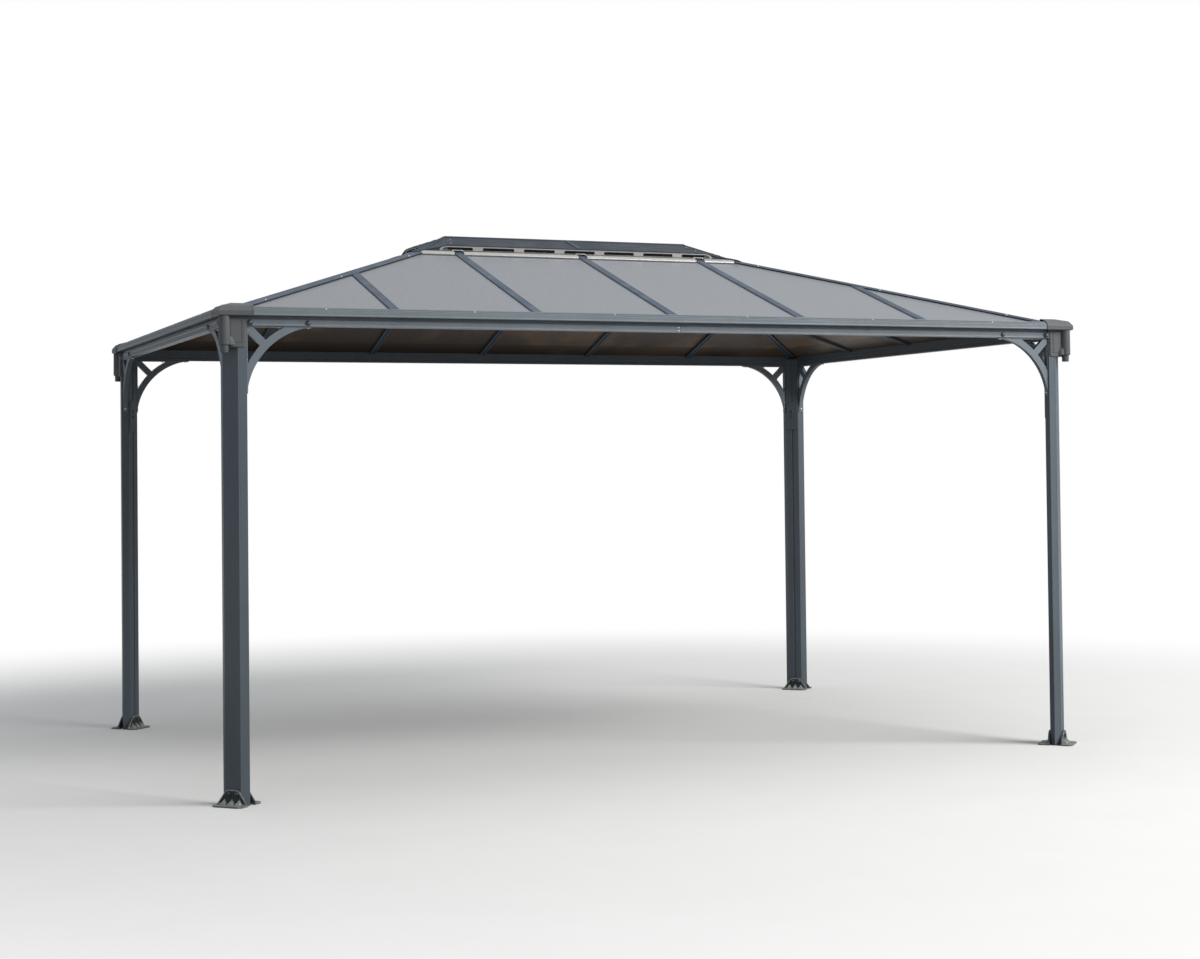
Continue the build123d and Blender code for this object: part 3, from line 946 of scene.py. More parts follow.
CORNER_SIGNS = ((-1, -1), (1, -1), (1, 1), (-1, 1))
SWAP_XY = Matrix(((0, 1, 0, 0), (1, 0, 0, 0), (0, 0, 1, 0), (0, 0, 0, 1)))


def with_twin(work: Work) -> Work:
    """Join a corner piece with its mirror image across the corner's diagonal."""
    twin = work.copy(work.name + "_twin").move(SWAP_XY)
    return work.join(twin)


def slant_frame(facing: int) -> Matrix:
    """Frame on a post's slanted face: X along the face, Y away from the post.

    Args:
        facing: 1 for the outer face, -1 for the inner one.

    Returns:
        The matrix from that frame to the corner frame.
    """
    away = DIAGONAL * -facing
    across = away.cross(UP)
    origin = away * (PLAN.slant + PLAN.fit)
    columns = Matrix((across, away, UP)).transposed().to_4x4()
    return Matrix.Translation(origin) @ columns


# Fasteners


@dataclass(frozen=True)
class DomeHead:
    """A domed head with a round recess, on a thin washer; its axis is +Z from the origin."""

    radius: float
    height: float
    washer: float = 0.0
    sides: int = 20

    def build(self, name: str) -> Work:
        """Model the head."""
        work = Work.drum(name, (0, 0, 0), self.height, self.radius, self.radius, self.sides)
        top = self.height - 0.0001
        work.bevel(self.height * 0.86, 4, lambda middle, _: middle.z > top)
        work.inset(self.radius * 0.16, -self.height * 0.35, lambda _, normal: normal.z > 0.99)
        if self.washer:
            rim = self.radius + self.washer
            base = Work.drum(name + "_washer", (0, 0, 0), 0.0012, rim, rim - 0.0004, self.sides)
            work.join(base)
        return work.smooth(40)

    def row(self, name: str, spots: Sequence[Matrix]) -> Work:
        """Heads at several places, as one mesh."""
        return scattered(self.build("head"), name, spots)


def pointing(direction: Sequence[float], place: Sequence[float]) -> Matrix:
    """Matrix that turns +Z to a direction and shifts to a place."""
    turn = Vector(direction).to_track_quat("Z", "Y").to_matrix().to_4x4()
    return Matrix.Translation(Vector(place)) @ turn


def scattered(pattern: Work, name: str, spots: Sequence[Matrix]) -> Work:
    """Copies of a small piece at several places, as one mesh; the pattern itself is used up."""
    copies = [pattern.copy(f"{name}_{n}").move(spot) for n, spot in enumerate(spots)]
    bpy.data.objects.remove(pattern.obj)
    return joined(copies, name)


# Posts and feet


@dataclass
class Posts:
    """Square extrusions with two corners cut away and fine grooves in the slanted faces."""

    groove_width: float = 0.0016
    groove_depth: float = 0.0008
    groove_spread: float = 0.007
    channel_width: float = 0.009
    channel_depth: float = 0.0035
    line_offset: float = 0.0135
    line_width: float = 0.0016
    line_depth: float = 0.0006

    def outline(self) -> list[Point]:
        """Section in the corner frame, anticlockwise."""
        h, s = PLAN.post_half, PLAN.flat_start
        line = [(self.line_offset, self.line_width, self.line_depth)]
        back_line = [(-self.line_offset, self.line_width, self.line_depth)]
        pair = [(n * self.groove_spread, self.groove_width, self.groove_depth) for n in (-1, 1)]
        points = grooved((h, -h), (h, -s), line)
        points += grooved((h, -s), (-s, h), [(0.0, self.channel_width, self.channel_depth)])
        points += grooved((-s, h), (-h, h), back_line)
        points += grooved((-h, h), (-h, s), line)
        points += grooved((-h, s), (s, -h), pair)
        points += grooved((s, -h), (h, -h), back_line)
        return list(dict.fromkeys(points))

    def build(self) -> None:
        """Model one post and set a copy at each corner."""
        post = Work.prism("post", self.outline(), 0.0, PLAN.beam_top).soften(0.0007, 1, 1)
        dress_corners(post, "post_bar", Finish.FRAME, "post", Finish.FRAME_EDGE)


@dataclass
class Feet:
    """Cast brackets: a base plate, an upright plate with a raised border, and pointed gussets."""

    length: float = 0.150
    reach: float = 0.058
    thickness: float = 0.007
    corner: float = 0.016
    plate_top: float = 0.060
    plate_height: float = 0.062
    plate_thickness: float = 0.006
    rounding: float = 0.012
    border: float = 0.0055
    border_rise: float = 0.0038
    field_share: float = 0.42
    field_radius: float = 0.008
    gusset: float = 0.027
    gusset_reach: float = 0.026
    gusset_height: float = 0.023
    spacing: float = 0.037
    anchor_radius: float = 0.0045
    anchor_out: float = 0.030
    screw: DomeHead = DomeHead(0.0112, 0.0072, 0.0016, 24)
    screw_spread: float = 0.0195
    screw_height: float = 0.043

    def base(self) -> Work:
        """Base plate with two anchor holes."""
        half, inner = self.length / 2, self.reach - self.corner
        outline = [(-half, 0), (half, 0), (half, inner), (half - self.corner, self.reach)]
        outline += [(self.corner - half, self.reach), (-half, inner)]
        base = Work.prism("base", outline, 0.0, self.thickness)
        top = self.thickness - 0.0001
        base.bevel(0.0022, 3, lambda middle, _: middle.z > top and middle.y > 0.001)
        spread, radius = PLAN.slant + PLAN.fit + self.anchor_out, self.anchor_radius
        for x in (-spread, spread):
            hole = Work.drum("hole", (x, self.anchor_out, -0.01), 0.03, radius, radius, 20)
            base.combine("DIFFERENCE", hole)
        return base

    def wall(self) -> Work:
        """Upright plate with its raised border."""
        half, top, high = self.length / 2, self.plate_top / 2, self.plate_height + self.thickness
        outline = [(-half, self.thickness), (half, self.thickness), (top, high), (-top, high)]
        wall = Work.plate("wall", outline, 0.0, self.plate_thickness)
        wall.bevel(self.rounding, 5, lambda middle, way: middle.z > high - 0.001 and abs(way.y) > 0.99)
        wall.inset(self.border, 0.0, lambda _, normal: normal.y > 0.99)
        with wall.editing():
            wall.mark_faces(self.on_border)
            raise_marked(self.border_rise)
        proud = self.plate_thickness + self.border_rise * 0.5
        # The raised border's front faces take the second slot, the light casting: painted light.
        return wall.soften(0.0009, 2).tint(1, lambda middle, _: middle.y > proud)

    def on_border(self, middle: Vector, normal: Vector) -> bool:
        """Whether a face on the front of the upright plate lies off the plate's middle."""
        centre = Vector((0, middle.y, self.thickness + self.plate_height * self.field_share))
        in_front = normal.y > 0.99 and middle.y > self.plate_thickness - 0.0001
        return in_front and (middle - centre).length > self.field_radius

    def gussets(self) -> list[Work]:
        """Three pointed gussets that lean against the upright plate."""
        made = []
        for n in (-1, 0, 1):
            middle, back = n * self.spacing, self.plate_thickness - 0.001
            low = (middle - self.gusset / 2, back, self.thickness - 0.001)
            high = (middle + self.gusset / 2, back + self.gusset_reach, self.thickness + self.gusset_height)
            work = Work.block("gusset", low, high)
            with work.editing():
                work.mark_faces(lambda _, normal: normal.z > 0.99)
                tip = (middle, back, high[2])
                bpy.ops.transform.resize(value=(0.07, 0.10, 1), center_override=tip)
            made.append(work.soften(0.0010, 2))
        return made

    def build(self) -> None:
        """Model one bracket and its screws, and set two at each corner."""
        # Base, gussets and the raised border take the light casting: painted light; the rest of the upright
        # plate keeps the dark casting: painted shade.
        gussets = [work.tint(1) for work in self.gussets()]
        bracket = self.base().tint(1).join(self.wall(), *gussets)
        inner = bracket.copy("inner").move(slant_frame(-1))
        pair = bracket.move(slant_frame(1)).join(inner)
        height = self.screw_height + self.thickness
        spots = []
        for facing in (1, -1):
            for x in (-self.screw_spread, self.screw_spread):
                spot = pointing((0, 1, 0), (x, self.plate_thickness, height))
                spots.append(slant_frame(facing) @ spot)
        dress_corners(pair, "foot_castings", Finish.CASTING, "feet", Finish.CASTING_WORN)
        dress_corners(self.screw.row("foot_screws", spots), "foot_screws", Finish.FOOT_BOLT)


# Beams and gutters


def across_side(points: Sequence[Point], x: float) -> list[Vector]:
    """Section points, by distance outwards and height, at a place along the side frame."""
    return [Vector((x, -out, height)) for out, height in points]


@dataclass
class EaveBars:
    """A bar along each side, its section given by distance outwards and height.

    The front one has a lighter copy of the frame paint: painted light, with painted shade on its faces that
    face up.
    """

    name: str
    node: str
    section: list[Point]
    reach: float
    mitred: bool
    splice: float = 0.0006

    def build(self) -> None:
        """Model the bar of each side, the long ones in two lengths."""
        for side in Side:
            end = side.half + self.reach
            start = self.splice / 2 if side.is_long else 0.0
            bar = Work.traced(self.name, across_side(self.section, end), RIGHT * (start - end))
            if self.mitred:
                bar.slice((side.half - PLAN.fit, 0, 0), (1, 1, 0))
            bar.soften(0.0007, 1, 1)
            other = bar.copy("other").move(Matrix.Scale(-1, 4, RIGHT))
            bar.join(other)
            if not side.is_long:
                bar.face_outwards()
            bar.name = f"{side.label}_{self.name}"
            bar.move(side.place)
            paint, edges = Finish.FRAME, Finish.FRAME_EDGE
            # The front bars take the lighter copy of the frame paint: painted light.
            if side is Side.FRONT:
                paint, edges = Finish.EAVE, Finish.EAVE_EDGE
            bar.dress(paint, [f"{side.label}_{self.node}"], edges)


def beam_section() -> list[Point]:
    """Section of the eave beams, anticlockwise seen with outwards to the right."""
    low, top = PLAN.beam_under, PLAN.beam_top
    face = [(0.008, 0.0), (0.0462, 0.0), (0.0470, 0.0012), (0.0470, 0.0055), (0.0458, 0.0065)]
    face += [(0.0458, 0.0235), (0.0470, 0.0245), (0.0470, 0.0270), (0.0390, 0.0270), (0.0390, 0.0355)]
    face += [(0.0412, 0.0362), (0.0412, 0.0382), (0.0390, 0.0389)]
    points = [(out, low + up) for out, up in face] + [(0.0390, top)]
    points += grooved((0.008, top), (0.008, low), [(0.004, 0.008, 0.0025)])
    return list(dict.fromkeys(points))


def gutter_section() -> list[Point]:
    """Section of the gutters: upstand, floor, face, slanted flange and returned lip."""
    points = [(0.0080, 0.0), (0.0752, 0.0), (0.0760, 0.0012), (0.0760, 0.0060), (0.0754, 0.0066)]
    points += [(0.0754, 0.0080), (0.0760, 0.0086), (0.0760, 0.0222), (0.0750, 0.0236), (0.0712, 0.0272)]
    points += [(0.0703, 0.0266), (0.0687, 0.0281), (0.0692, 0.0291), (0.0624, 0.0356), (0.0622, 0.0380)]
    points += [(0.0610, 0.0380), (0.0610, 0.0300), (0.0630, 0.0300), (0.0630, 0.0318), (0.0727, 0.0226)]
    points += [(0.0727, 0.0025), (0.0105, 0.0025), (0.0105, 0.0160), (0.0080, 0.0160)]
    return [(out, PLAN.beam_top + up) for out, up in points]


@dataclass
class GutterScrews:
    """Small bright screws: one in each bay of the gutters, and two at each splice of a beam."""

    screw: DomeHead = DomeHead(0.0042, 0.0028, 0.0, 12)
    out: float = 0.0662
    height: float = 2.1150
    lean: tuple[float, float, float] = (0, -0.69, 0.72)
    splice_spot: Point = (-0.009, -0.0458)
    splice_heights: tuple[float, float] = (2.0465, 2.0610)

    def build(self) -> None:
        """Set a row along each side."""
        for side in Side:
            spots = []
            for n in range(side.bays):
                x = (n + 0.5 - side.bays / 2) * PLAN.bay
                spots.append(side.place @ pointing(self.lean, (x, -self.out, self.height)))
            if side.is_long:
                for height in self.splice_heights:
                    spots.append(side.place @ pointing((0, -1, 0), (*self.splice_spot, height)))
            self.screw.row(f"{side.label}_gutter_screws", spots).dress(Finish.SCREW)


# Corner caps and brackets


@dataclass
class CornerCaps:
    """Moulded shells over the mitred gutter corners, with a rim at each leg's end."""

    leg: float = 0.0725
    reach: float = 0.0793
    rim: float = 0.007
    rim_rise: float = 0.0011

    def section(self, proud: float = 0.0) -> list[Point]:
        """Section of one leg, by distance outwards and height.

        Args:
            proud: How far the outside stands beyond the plain shell.

        Returns:
            The points in order.
        """
        low, out = PLAN.beam_top - 0.0033, self.reach + proud
        outside = [(0.0473, low), (out - 0.0052, low), (out, low + 0.0036), (out, 2.1030)]
        outside += [(out - 0.0014, 2.1050 + proud), (0.0652 + proud, 2.1222 + proud)]
        outside += [(0.0610, 2.1256 + proud), (0.0130, 2.1385), (0.0100, 2.1385)]
        inside = [(0.0100, 2.1160), (0.0130, 2.1160), (0.0130, 2.1355), (0.0602, 2.1228)]
        inside += [(0.0636, 2.1200), (0.0768, 2.1052), (0.0768, low + 0.0025), (0.0473, low + 0.0025)]
        return outside + inside

    def build(self) -> None:
        """Model one leg, mirror it over the diagonal, and set a cap at each corner."""
        run = Vector((-self.leg - self.reach, 0, 0))
        leg = Work.traced("cap", across_side(self.section(), self.leg), run)
        leg.slice((0, 0, 0), (-1, 1, 0))
        rim = across_side(self.section(self.rim_rise), self.leg)
        leg.join(Work.traced("rim", rim, Vector((-self.rim, 0, 0))))
        cap = with_twin(leg).face_outwards()
        cap.soften(0.0009, 2, 1)
        dress_corners(cap, "cap_shell", Finish.PLASTIC, "cap", Finish.PLASTIC_EDGE)


@dataclass
class CornerBrackets:
    """Cover plates round the head of the post, with the drain between them."""

    plate_low: float = 1.948
    plate_top: float = 2.0705
    side: float = 0.0415
    face: float = 0.0503
    arm_end: float = 0.0740
    arm_low: float = 2.0403
    arm_top: float = 2.0668
    lap: float = 0.025
    plate_thickness: float = 0.003
    seat: float = 0.001
    rounding: float = 0.010
    arm_rounding: float = 0.004
    field_rounding: float = 0.003
    rim_margin: float = 0.0012
    top_margin: float = 0.0006
    drain: float = 0.050
    drain_radius: float = 0.0250
    drain_low: float = 1.956
    drain_top: float = 2.0794
    skirt_height: float = 0.038
    skirt_steps: int = 14
    border: float = 0.0185
    groove: float = 0.0028
    field_rise: float = 0.0028
    spout_radius: float = 0.0180
    spout_length: float = 0.033
    bore: float = 0.011

    def raised(self, name: str, outline: list[Point]) -> Work:
        """A raised part on the front of a cover plate."""
        part = Work.plate(name, outline, self.seat - self.face, -self.field_rise - self.seat)
        return part.soften(0.0007, 2, 1)

    def plate(self) -> Work:
        """Front cover plate with its arm, rounded corners, and a groove round its field."""
        broad, tight = self.rounding, self.arm_rounding
        outline = [(-self.lap, self.plate_low)]
        outline += arc((self.side - broad, self.plate_low + broad), broad, -90, 0)
        outline += arc((self.side + broad, self.arm_low - broad), broad, 180, 90)
        outline += arc((self.arm_end - tight, self.arm_low + tight), tight, -90, 0, 4)
        outline += arc((self.arm_end - tight, self.arm_top - tight), tight, 0, 90, 4)
        outline += [(self.side - 0.002, self.arm_top), (self.side - 0.004, self.plate_top)]
        outline.append((-self.lap, self.plate_top))
        plate = Work.plate("plate", outline, self.plate_thickness - self.face, -self.plate_thickness)
        start, top = self.seat - self.lap, self.plate_top - self.top_margin
        low, side, tight = self.plate_low + self.border, self.side - self.border, self.field_rounding
        field_outline = [(start, low), *arc((side - tight, low + tight), tight, -90, 0, 3)]
        field_outline += [(side, top), (start, top)]
        inner_low, inner_side = low - self.groove, side + self.groove
        low, side = self.plate_low + self.rim_margin, self.side - self.rim_margin
        broad -= self.rim_margin
        rim = [(start, low), *arc((side - broad, low + broad), broad, -90, 0), (side, top)]
        rim += [(inner_side, top), (inner_side, inner_low), (start, inner_low)]
        plate.soften(0.0007, 2, 1)
        return plate.join(self.raised("panel", field_outline), self.raised("border", rim))

    def neck(self) -> Work:
        """The web behind the drain, between the two plates."""
        inner, start = PLAN.post_half + PLAN.fit, PLAN.flat_start
        outline = [(-self.lap, -self.face), (-self.face, -self.lap), (-inner, start), (start, -inner)]
        return Work.prism("neck", outline, self.plate_low, self.drain_top - self.plate_low)

    def lift(self, step: int) -> float:
        """Height of a step of the skirt above its foot."""
        return self.skirt_height * sin(pi / 2 * step / self.skirt_steps)

    def spread(self, step: int) -> float:
        """Width of the skirt at a step, against its foot."""
        return 0.5 + 0.5 * cos(pi / 2 * step / self.skirt_steps)

    def skirt(self) -> Work:
        """The skirt that widens downwards from the drain to the plates, as a round shoulder."""
        centre, low = -self.drain, self.drain_low
        outline = [(-0.0008, -self.face + 0.0004), (-0.0265, -0.0735), (-0.0735, -0.0265)]
        outline += [(-self.face + 0.0004, -0.0008), (-0.040, -0.040)]
        work = Work.prism("skirt", outline, low, self.lift(1))
        work.bevel(0.017, 6, lambda middle, way: abs(way.z) > 0.99 and middle.x + middle.y < -0.095)
        for n in range(1, self.skirt_steps):
            floor, rise = low + self.lift(n) - 0.0001, self.lift(n + 1) - self.lift(n)
            share = self.spread(n + 1) / self.spread(n)
            pivot = (centre, centre, low + self.lift(n + 1))
            with work.editing():
                work.mark_faces(lambda middle, normal: normal.z > 0.9 and middle.z > floor)
                bpy.ops.mesh.extrude_region_move(TRANSFORM_OT_translate={"value": (0, 0, rise)})
                bpy.ops.transform.resize(value=(share, share, 1), center_override=pivot)
        return work.smooth(60)

    def housing(self) -> Work:
        """The round housing of the drain."""
        foot, radius = (-self.drain, -self.drain, self.drain_low), self.drain_radius
        work = Work.drum("housing", foot, self.drain_top - self.drain_low, radius, radius - 0.0006, 56)
        edge = self.drain_low + 0.0001
        work.bevel(0.0016, 3, lambda middle, way: middle.z < edge and abs(way.z) < 0.1)
        return work.smooth(40)

    def spout(self) -> Work:
        """The hollow spout below the housing."""
        low, radius = self.drain_low - self.spout_length, self.spout_radius
        tip = radius - 0.0014
        work = Work.drum("spout", (-self.drain, -self.drain, low), self.spout_length, tip, radius, 40)
        with work.editing():
            work.mark_faces(lambda _, normal: normal.z < -0.99)
            bpy.ops.mesh.inset(thickness=tip - self.bore, depth=0)
            rise = (0, 0, self.spout_length * 0.9)
            bpy.ops.mesh.extrude_region_move(TRANSFORM_OT_translate={"value": rise})
        work.bevel(0.0010, 2, lambda middle, way: middle.z < low + 0.0001 and abs(way.z) < 0.1)
        return work.smooth(40)

    def build(self) -> None:
        """Model the plates and the drain, and set them at each corner."""
        plates = with_twin(self.plate()).join(self.neck())
        drain = self.housing().join(self.skirt(), self.spout())
        dress_corners(plates, "cover_plates", Finish.PLASTIC, "bracket", Finish.PLASTIC_EDGE)
        dress_corners(drain, "drain", Finish.PLASTIC)


@dataclass
class BeamBolts:
    """Domed bolts through the cover plates' arms and the beams."""

    bolt: DomeHead = DomeHead(0.0108, 0.0085, 0.0014, 24)
    near: Point = (0.0612, 0.0503)
    far: Point = (0.315, 0.0462)
    height: float = 2.0545

    def build(self) -> None:
        """Set four bolts at each corner."""
        spots = []
        for along, out in (self.near, self.far):
            spots.append(pointing((0, -1, 0), (along, -out, self.height)))
            spots.append(pointing((-1, 0, 0), (-out, along, self.height)))
        dress_corners(self.bolt.row("beam_bolts", spots), "beam_bolts", Finish.BOLT)


# Knee braces


@dataclass
class KneeBraces:
    """An arc with a diagonal spur, and flanges along post and beam."""

    radius: float = 0.323
    band: float = 0.033
    thickness: float = 0.024
    flange: float = 0.005
    reach: float = 0.290
    rounding: float = 0.006
    spur_half: float = 0.16
    spur_start: float = 0.084
    overlap: float = 0.03
    screw: DomeHead = DomeHead(0.0055, 0.0040, 0.0, 14)
    screw_places: tuple[float, float] = (0.145, 0.272)

    @property
    def middle(self) -> float:
        """Place of the brace's middle plane in the corner frame."""
        return -(PLAN.flat_start + PLAN.post_half) / 2

    def outline_block(self, name: str, low: Point, high: Point) -> Work:
        """A block in the brace's plane."""
        near, far = self.middle - self.thickness / 2, self.middle + self.thickness / 2
        return Work.block(name, (low[0], near, low[1]), (high[0], far, high[1]))

    def arc_band(self) -> Work:
        """The arc, traced between its two radii."""
        centre = (PLAN.post_half + self.radius, PLAN.beam_under - self.radius)
        outline = arc(centre, self.radius + self.band, 84, 186, 34)
        outline += arc(centre, self.radius, 186, 84, 34)
        return Work.plate("arc", outline, self.middle + self.thickness / 2, -self.thickness)

    def build(self) -> None:
        """Model one brace, mirror it over the diagonal, and set a pair at each corner."""
        x0, z0 = PLAN.post_half + PLAN.fit, PLAN.beam_under - PLAN.fit
        x1, z1 = x0 + self.reach, z0 - self.reach
        brace = self.arc_band()
        half, start = self.spur_half, self.spur_start
        spur = self.outline_block("spur", (-half, -self.band / 2), (half, self.band / 2))
        shift = Matrix.Translation((PLAN.post_half, 0, PLAN.beam_under))
        spur.move(shift @ Matrix.Rotation(radians(45), 4, "Y"))
        spur.slice((PLAN.post_half + start, 0, PLAN.beam_under - start), (1, 0, -1))
        brace.combine("UNION", spur)
        past, top = self.overlap, z0 + 0.02
        low, high = (x0 - past, z0 - self.flange), (x1 + past, top)
        brace.combine("UNION", self.outline_block("shoe", low, high))
        low, high = (x0 - past, z1 - past), (x0 + self.flange, top)
        brace.combine("UNION", self.outline_block("heel", low, high))
        brace.slice((x0, 0, 0), (-1, 0, 0)).slice((x1, 0, 0), (1, 0, 0))
        brace.slice((0, 0, z0), (0, 0, 1)).slice((0, 0, z1), (0, 0, -1))
        brace.face_outwards()
        brace.bevel_hollows(self.rounding, 4, Vector((0, 1, 0)))
        brace.soften(0.0010, 2, 1)
        # The braces take the lighter copy of the frame paint: painted light.
        dress_corners(with_twin(brace), "knee_braces", Finish.EAVE, "braces", Finish.EAVE_EDGE)
        self.screws(x0, z0)

    def screws(self, x0: float, z0: float) -> None:
        """Screws through the flanges into post and beam."""
        spots = []
        for place in self.screw_places:
            spots.append(pointing((1, 0, 0), (x0 + self.flange, self.middle, z0 - place)))
            spots.append(pointing((0, 0, -1), (x0 + place, self.middle, z0 - self.flange)))
        dress_corners(with_twin(self.screw.row("brace_screws", spots)), "brace_screws", Finish.SCREW)


@dataclass
class BracePlates:
    """Round-topped plates on the inner slanted faces, with two screws each."""

    width: float = 0.066
    low: float = 1.640
    high: float = 1.815
    thickness: float = 0.003
    border: float = 0.004
    hollow: float = 0.0008
    screw: DomeHead = DomeHead(0.0075, 0.0055, 0.0015)
    drops: tuple[float, float] = (0.288, 0.317)

    def build(self) -> None:
        """Model one plate and its screws, and set them at each corner."""
        half = self.width / 2
        outline = [(-half, self.low), (half, self.low)]
        outline += arc((0, self.high - half), half, 0, 180, 20)
        plate = Work.plate("plate", outline, 0.0, self.thickness)
        plate.inset(self.border, -self.hollow, lambda _, normal: normal.y > 0.99)
        plate.soften(0.0007, 2, 1).move(slant_frame(-1))
        face = self.thickness - self.hollow
        places = [pointing((0, 1, 0), (0, face, PLAN.beam_under - drop)) for drop in self.drops]
        screws = self.screw.row("plate_screws", [slant_frame(-1) @ place for place in places])
        plates = joined(at_corners(plate, "brace_plate"), "brace_plates_all")
        plates.dress(Finish.FRAME, ["brace_plates"], Finish.FRAME_EDGE)
        dress_corners(screws, "plate_screws", Finish.BOLT)


# The lower roof


@dataclass
class Rafters:
    """Bars up the slopes: a chamfered cap above the sheets and a grooved flange below."""

    cap: float = 0.024
    cap_edge: float = 0.0026
    cap_top: float = 0.0195
    cap_height: float = 0.0068
    channel_top: float = 0.0150
    channel_foot: float = 0.0140
    channel_depth: float = 0.001
    flange: float = 0.016
    flange_depth: float = 0.013
    flange_groove: tuple[float, float, float] = (0.0, 0.010, 0.004)
    web: float = 0.005
    overhang: float = 0.025
    run_out: float = 0.08
    length: float = 1.45
    hip_half: float = 0.029
    hip_zone: float = 0.05
    notch_half: float = 0.05
    notch_back: float = -0.0077
    notch_top: float = 2.0858

    def section(self) -> list[Point]:
        """Section by distance across and above the sheets, anticlockwise."""
        under = -PLAN.sheet_thickness - PLAN.fit
        low, floor = under - self.flange_depth, self.cap_height - self.channel_depth
        right = [(self.web, PLAN.fit), (self.cap, PLAN.fit), (self.cap, self.cap_edge)]
        right.append((self.cap_top, self.cap_height))
        below = [(self.flange, low), (self.flange, under), (self.web, under)]
        points = [(-x, y) for x, y in reversed(below)]
        points += grooved((-self.flange, low), (self.flange, low), [self.flange_groove])
        points += below + right + [(self.channel_top, self.cap_height), (self.channel_foot, floor)]
        points += [(-self.channel_foot, floor), (-self.channel_top, self.cap_height)]
        points += [(-x, y) for x, y in reversed(right)]
        return list(dict.fromkeys(points))

    def bar(self, side: Side, x: float) -> Work:
        """One bar in the side frame, at a place along the side."""
        start = Vector((x, -self.run_out, PLAN.roof_height(-self.run_out)))
        points = laid_out(self.section(), start, RIGHT, PLAN.slope_normal)
        bar = Work.traced("rafter", points, PLAN.up_slope * self.length)
        bar.slice((0, -self.overhang, 0), (0, -1, 0))
        bar.slice((0, PLAN.vent_run - PLAN.fit, 0), (0, 1, 0))
        if abs(x) > side.half - PLAN.vent_run - self.hip_zone:
            turn = 1 if x > 0 else -1
            hip_gap = (self.hip_half + PLAN.fit) * sqrt(2)
            bar.slice((turn * side.half, -hip_gap, 0), (turn, 1, 0))
        low = (x - self.notch_half, -self.notch_half, 2.0)
        high = (x + self.notch_half, self.notch_back, self.notch_top)
        return bar.combine("DIFFERENCE", Work.block("notch", low, high)).soften(0.0006, 1, 1)

    def build(self) -> None:
        """Model the bars of each slope."""
        for side in Side:
            last = side.bays // 2
            bars = [self.bar(side, n * PLAN.bay) for n in range(1 - last, last)]
            work = joined(bars, f"{side.label}_rafter_bars").move(side.place)
            work.dress(Finish.BAR, [f"{side.label}_rafters"], Finish.BAR_EDGE)


@dataclass
class HipRafters:
    """Bars on the four hips, from the corner caps to the throat frame, with black side walls."""

    cap: float = 0.029
    shoulder: float = 0.0170
    rise: float = 0.0105
    edge: float = 0.0068
    channel_top: float = 0.0125
    channel_foot: float = 0.0115
    channel_depth: float = 0.0012
    web: float = 0.007
    flange: float = 0.023
    flange_low: float = -0.0224
    groove: float = 0.005
    groove_top: float = -0.0185
    run_out: float = 0.06
    foot: float = -0.0097
    screw: DomeHead = DomeHead(0.0050, 0.0034, 0.0, 12)
    screw_runs: tuple[float, ...] = (0.155, 0.62, 1.09)
    screw_out: float = 0.0235
    screw_lift: float = 0.0034
    screw_lean: float = 0.9

    @property
    def fall(self) -> float:
        """Rise of the hips for each metre inwards."""
        return PLAN.slope / sqrt(2)

    def section(self) -> list[Point]:
        """Section by distance across and above the hip line, anticlockwise."""
        drop = PLAN.sheet_thickness / cos(PLAN.pitch) + PLAN.fit

        def below(across: float, start: float) -> float:
            """Height of the sheets' face or underside beside the hip line."""
            return start - across * self.fall

        right = [(self.flange, self.flange_low), (self.flange, below(self.flange, -drop))]
        right += [(self.web, below(self.web, -drop)), (self.web, below(self.web, PLAN.fit))]
        right += [(self.cap, below(self.cap, PLAN.fit)), (self.cap, below(self.cap, PLAN.fit) + self.edge)]
        right += [(self.shoulder, self.rise), (self.channel_top, self.rise)]
        right.append((self.channel_foot, self.rise - self.channel_depth))
        left = [(-x, y) for x, y in reversed(right)]
        groove = [(-self.groove, self.flange_low), (-self.groove, self.groove_top)]
        return right + left + groove + [(-x, y) for x, y in reversed(groove)]

    def build(self) -> None:
        """Model one hip and set a copy at each corner."""
        back, notch = self.run_out, PLAN.vent_run - PLAN.fit
        start = DIAGONAL * -back + UP * (PLAN.roof_height(0) - back * self.fall)
        points = laid_out(self.section(), start, CROSSWISE)
        length = PLAN.vent_run * sqrt(2) + back + 0.02
        hip = Work.traced("hip", points, (DIAGONAL + UP * self.fall) * length)
        hip.slice((self.foot, 0, 0), (-1, 0, 0)).slice((0, self.foot, 0), (0, -1, 0))
        far = notch + 0.3
        hip.combine("DIFFERENCE", Work.block("notch", (notch, notch, 2.0), (far, far, 3.0)))
        hip.soften(0.0008, 1).tint(1, lambda _, normal: abs(normal.x - normal.y) > 1.2)
        joined(at_corners(hip, "hip_bar"), "hip_bars").dress(Finish.BAR, ["hip_rafters"], Finish.SEAL)
        self.screws()

    def screws(self) -> None:
        """Bright screws along the edges of the hips."""
        spots = []
        for run in self.screw_runs:
            for across in (CROSSWISE, -CROSSWISE):
                spot = DIAGONAL * (run * sqrt(2)) + across * self.screw_out
                spot += UP * (PLAN.roof_height(run) + self.screw_lift)
                spots.append(pointing(across + UP * self.screw_lean, spot))
        dress_corners(self.screw.row("hip_screws", spots), "hip_screws", Finish.SCREW)


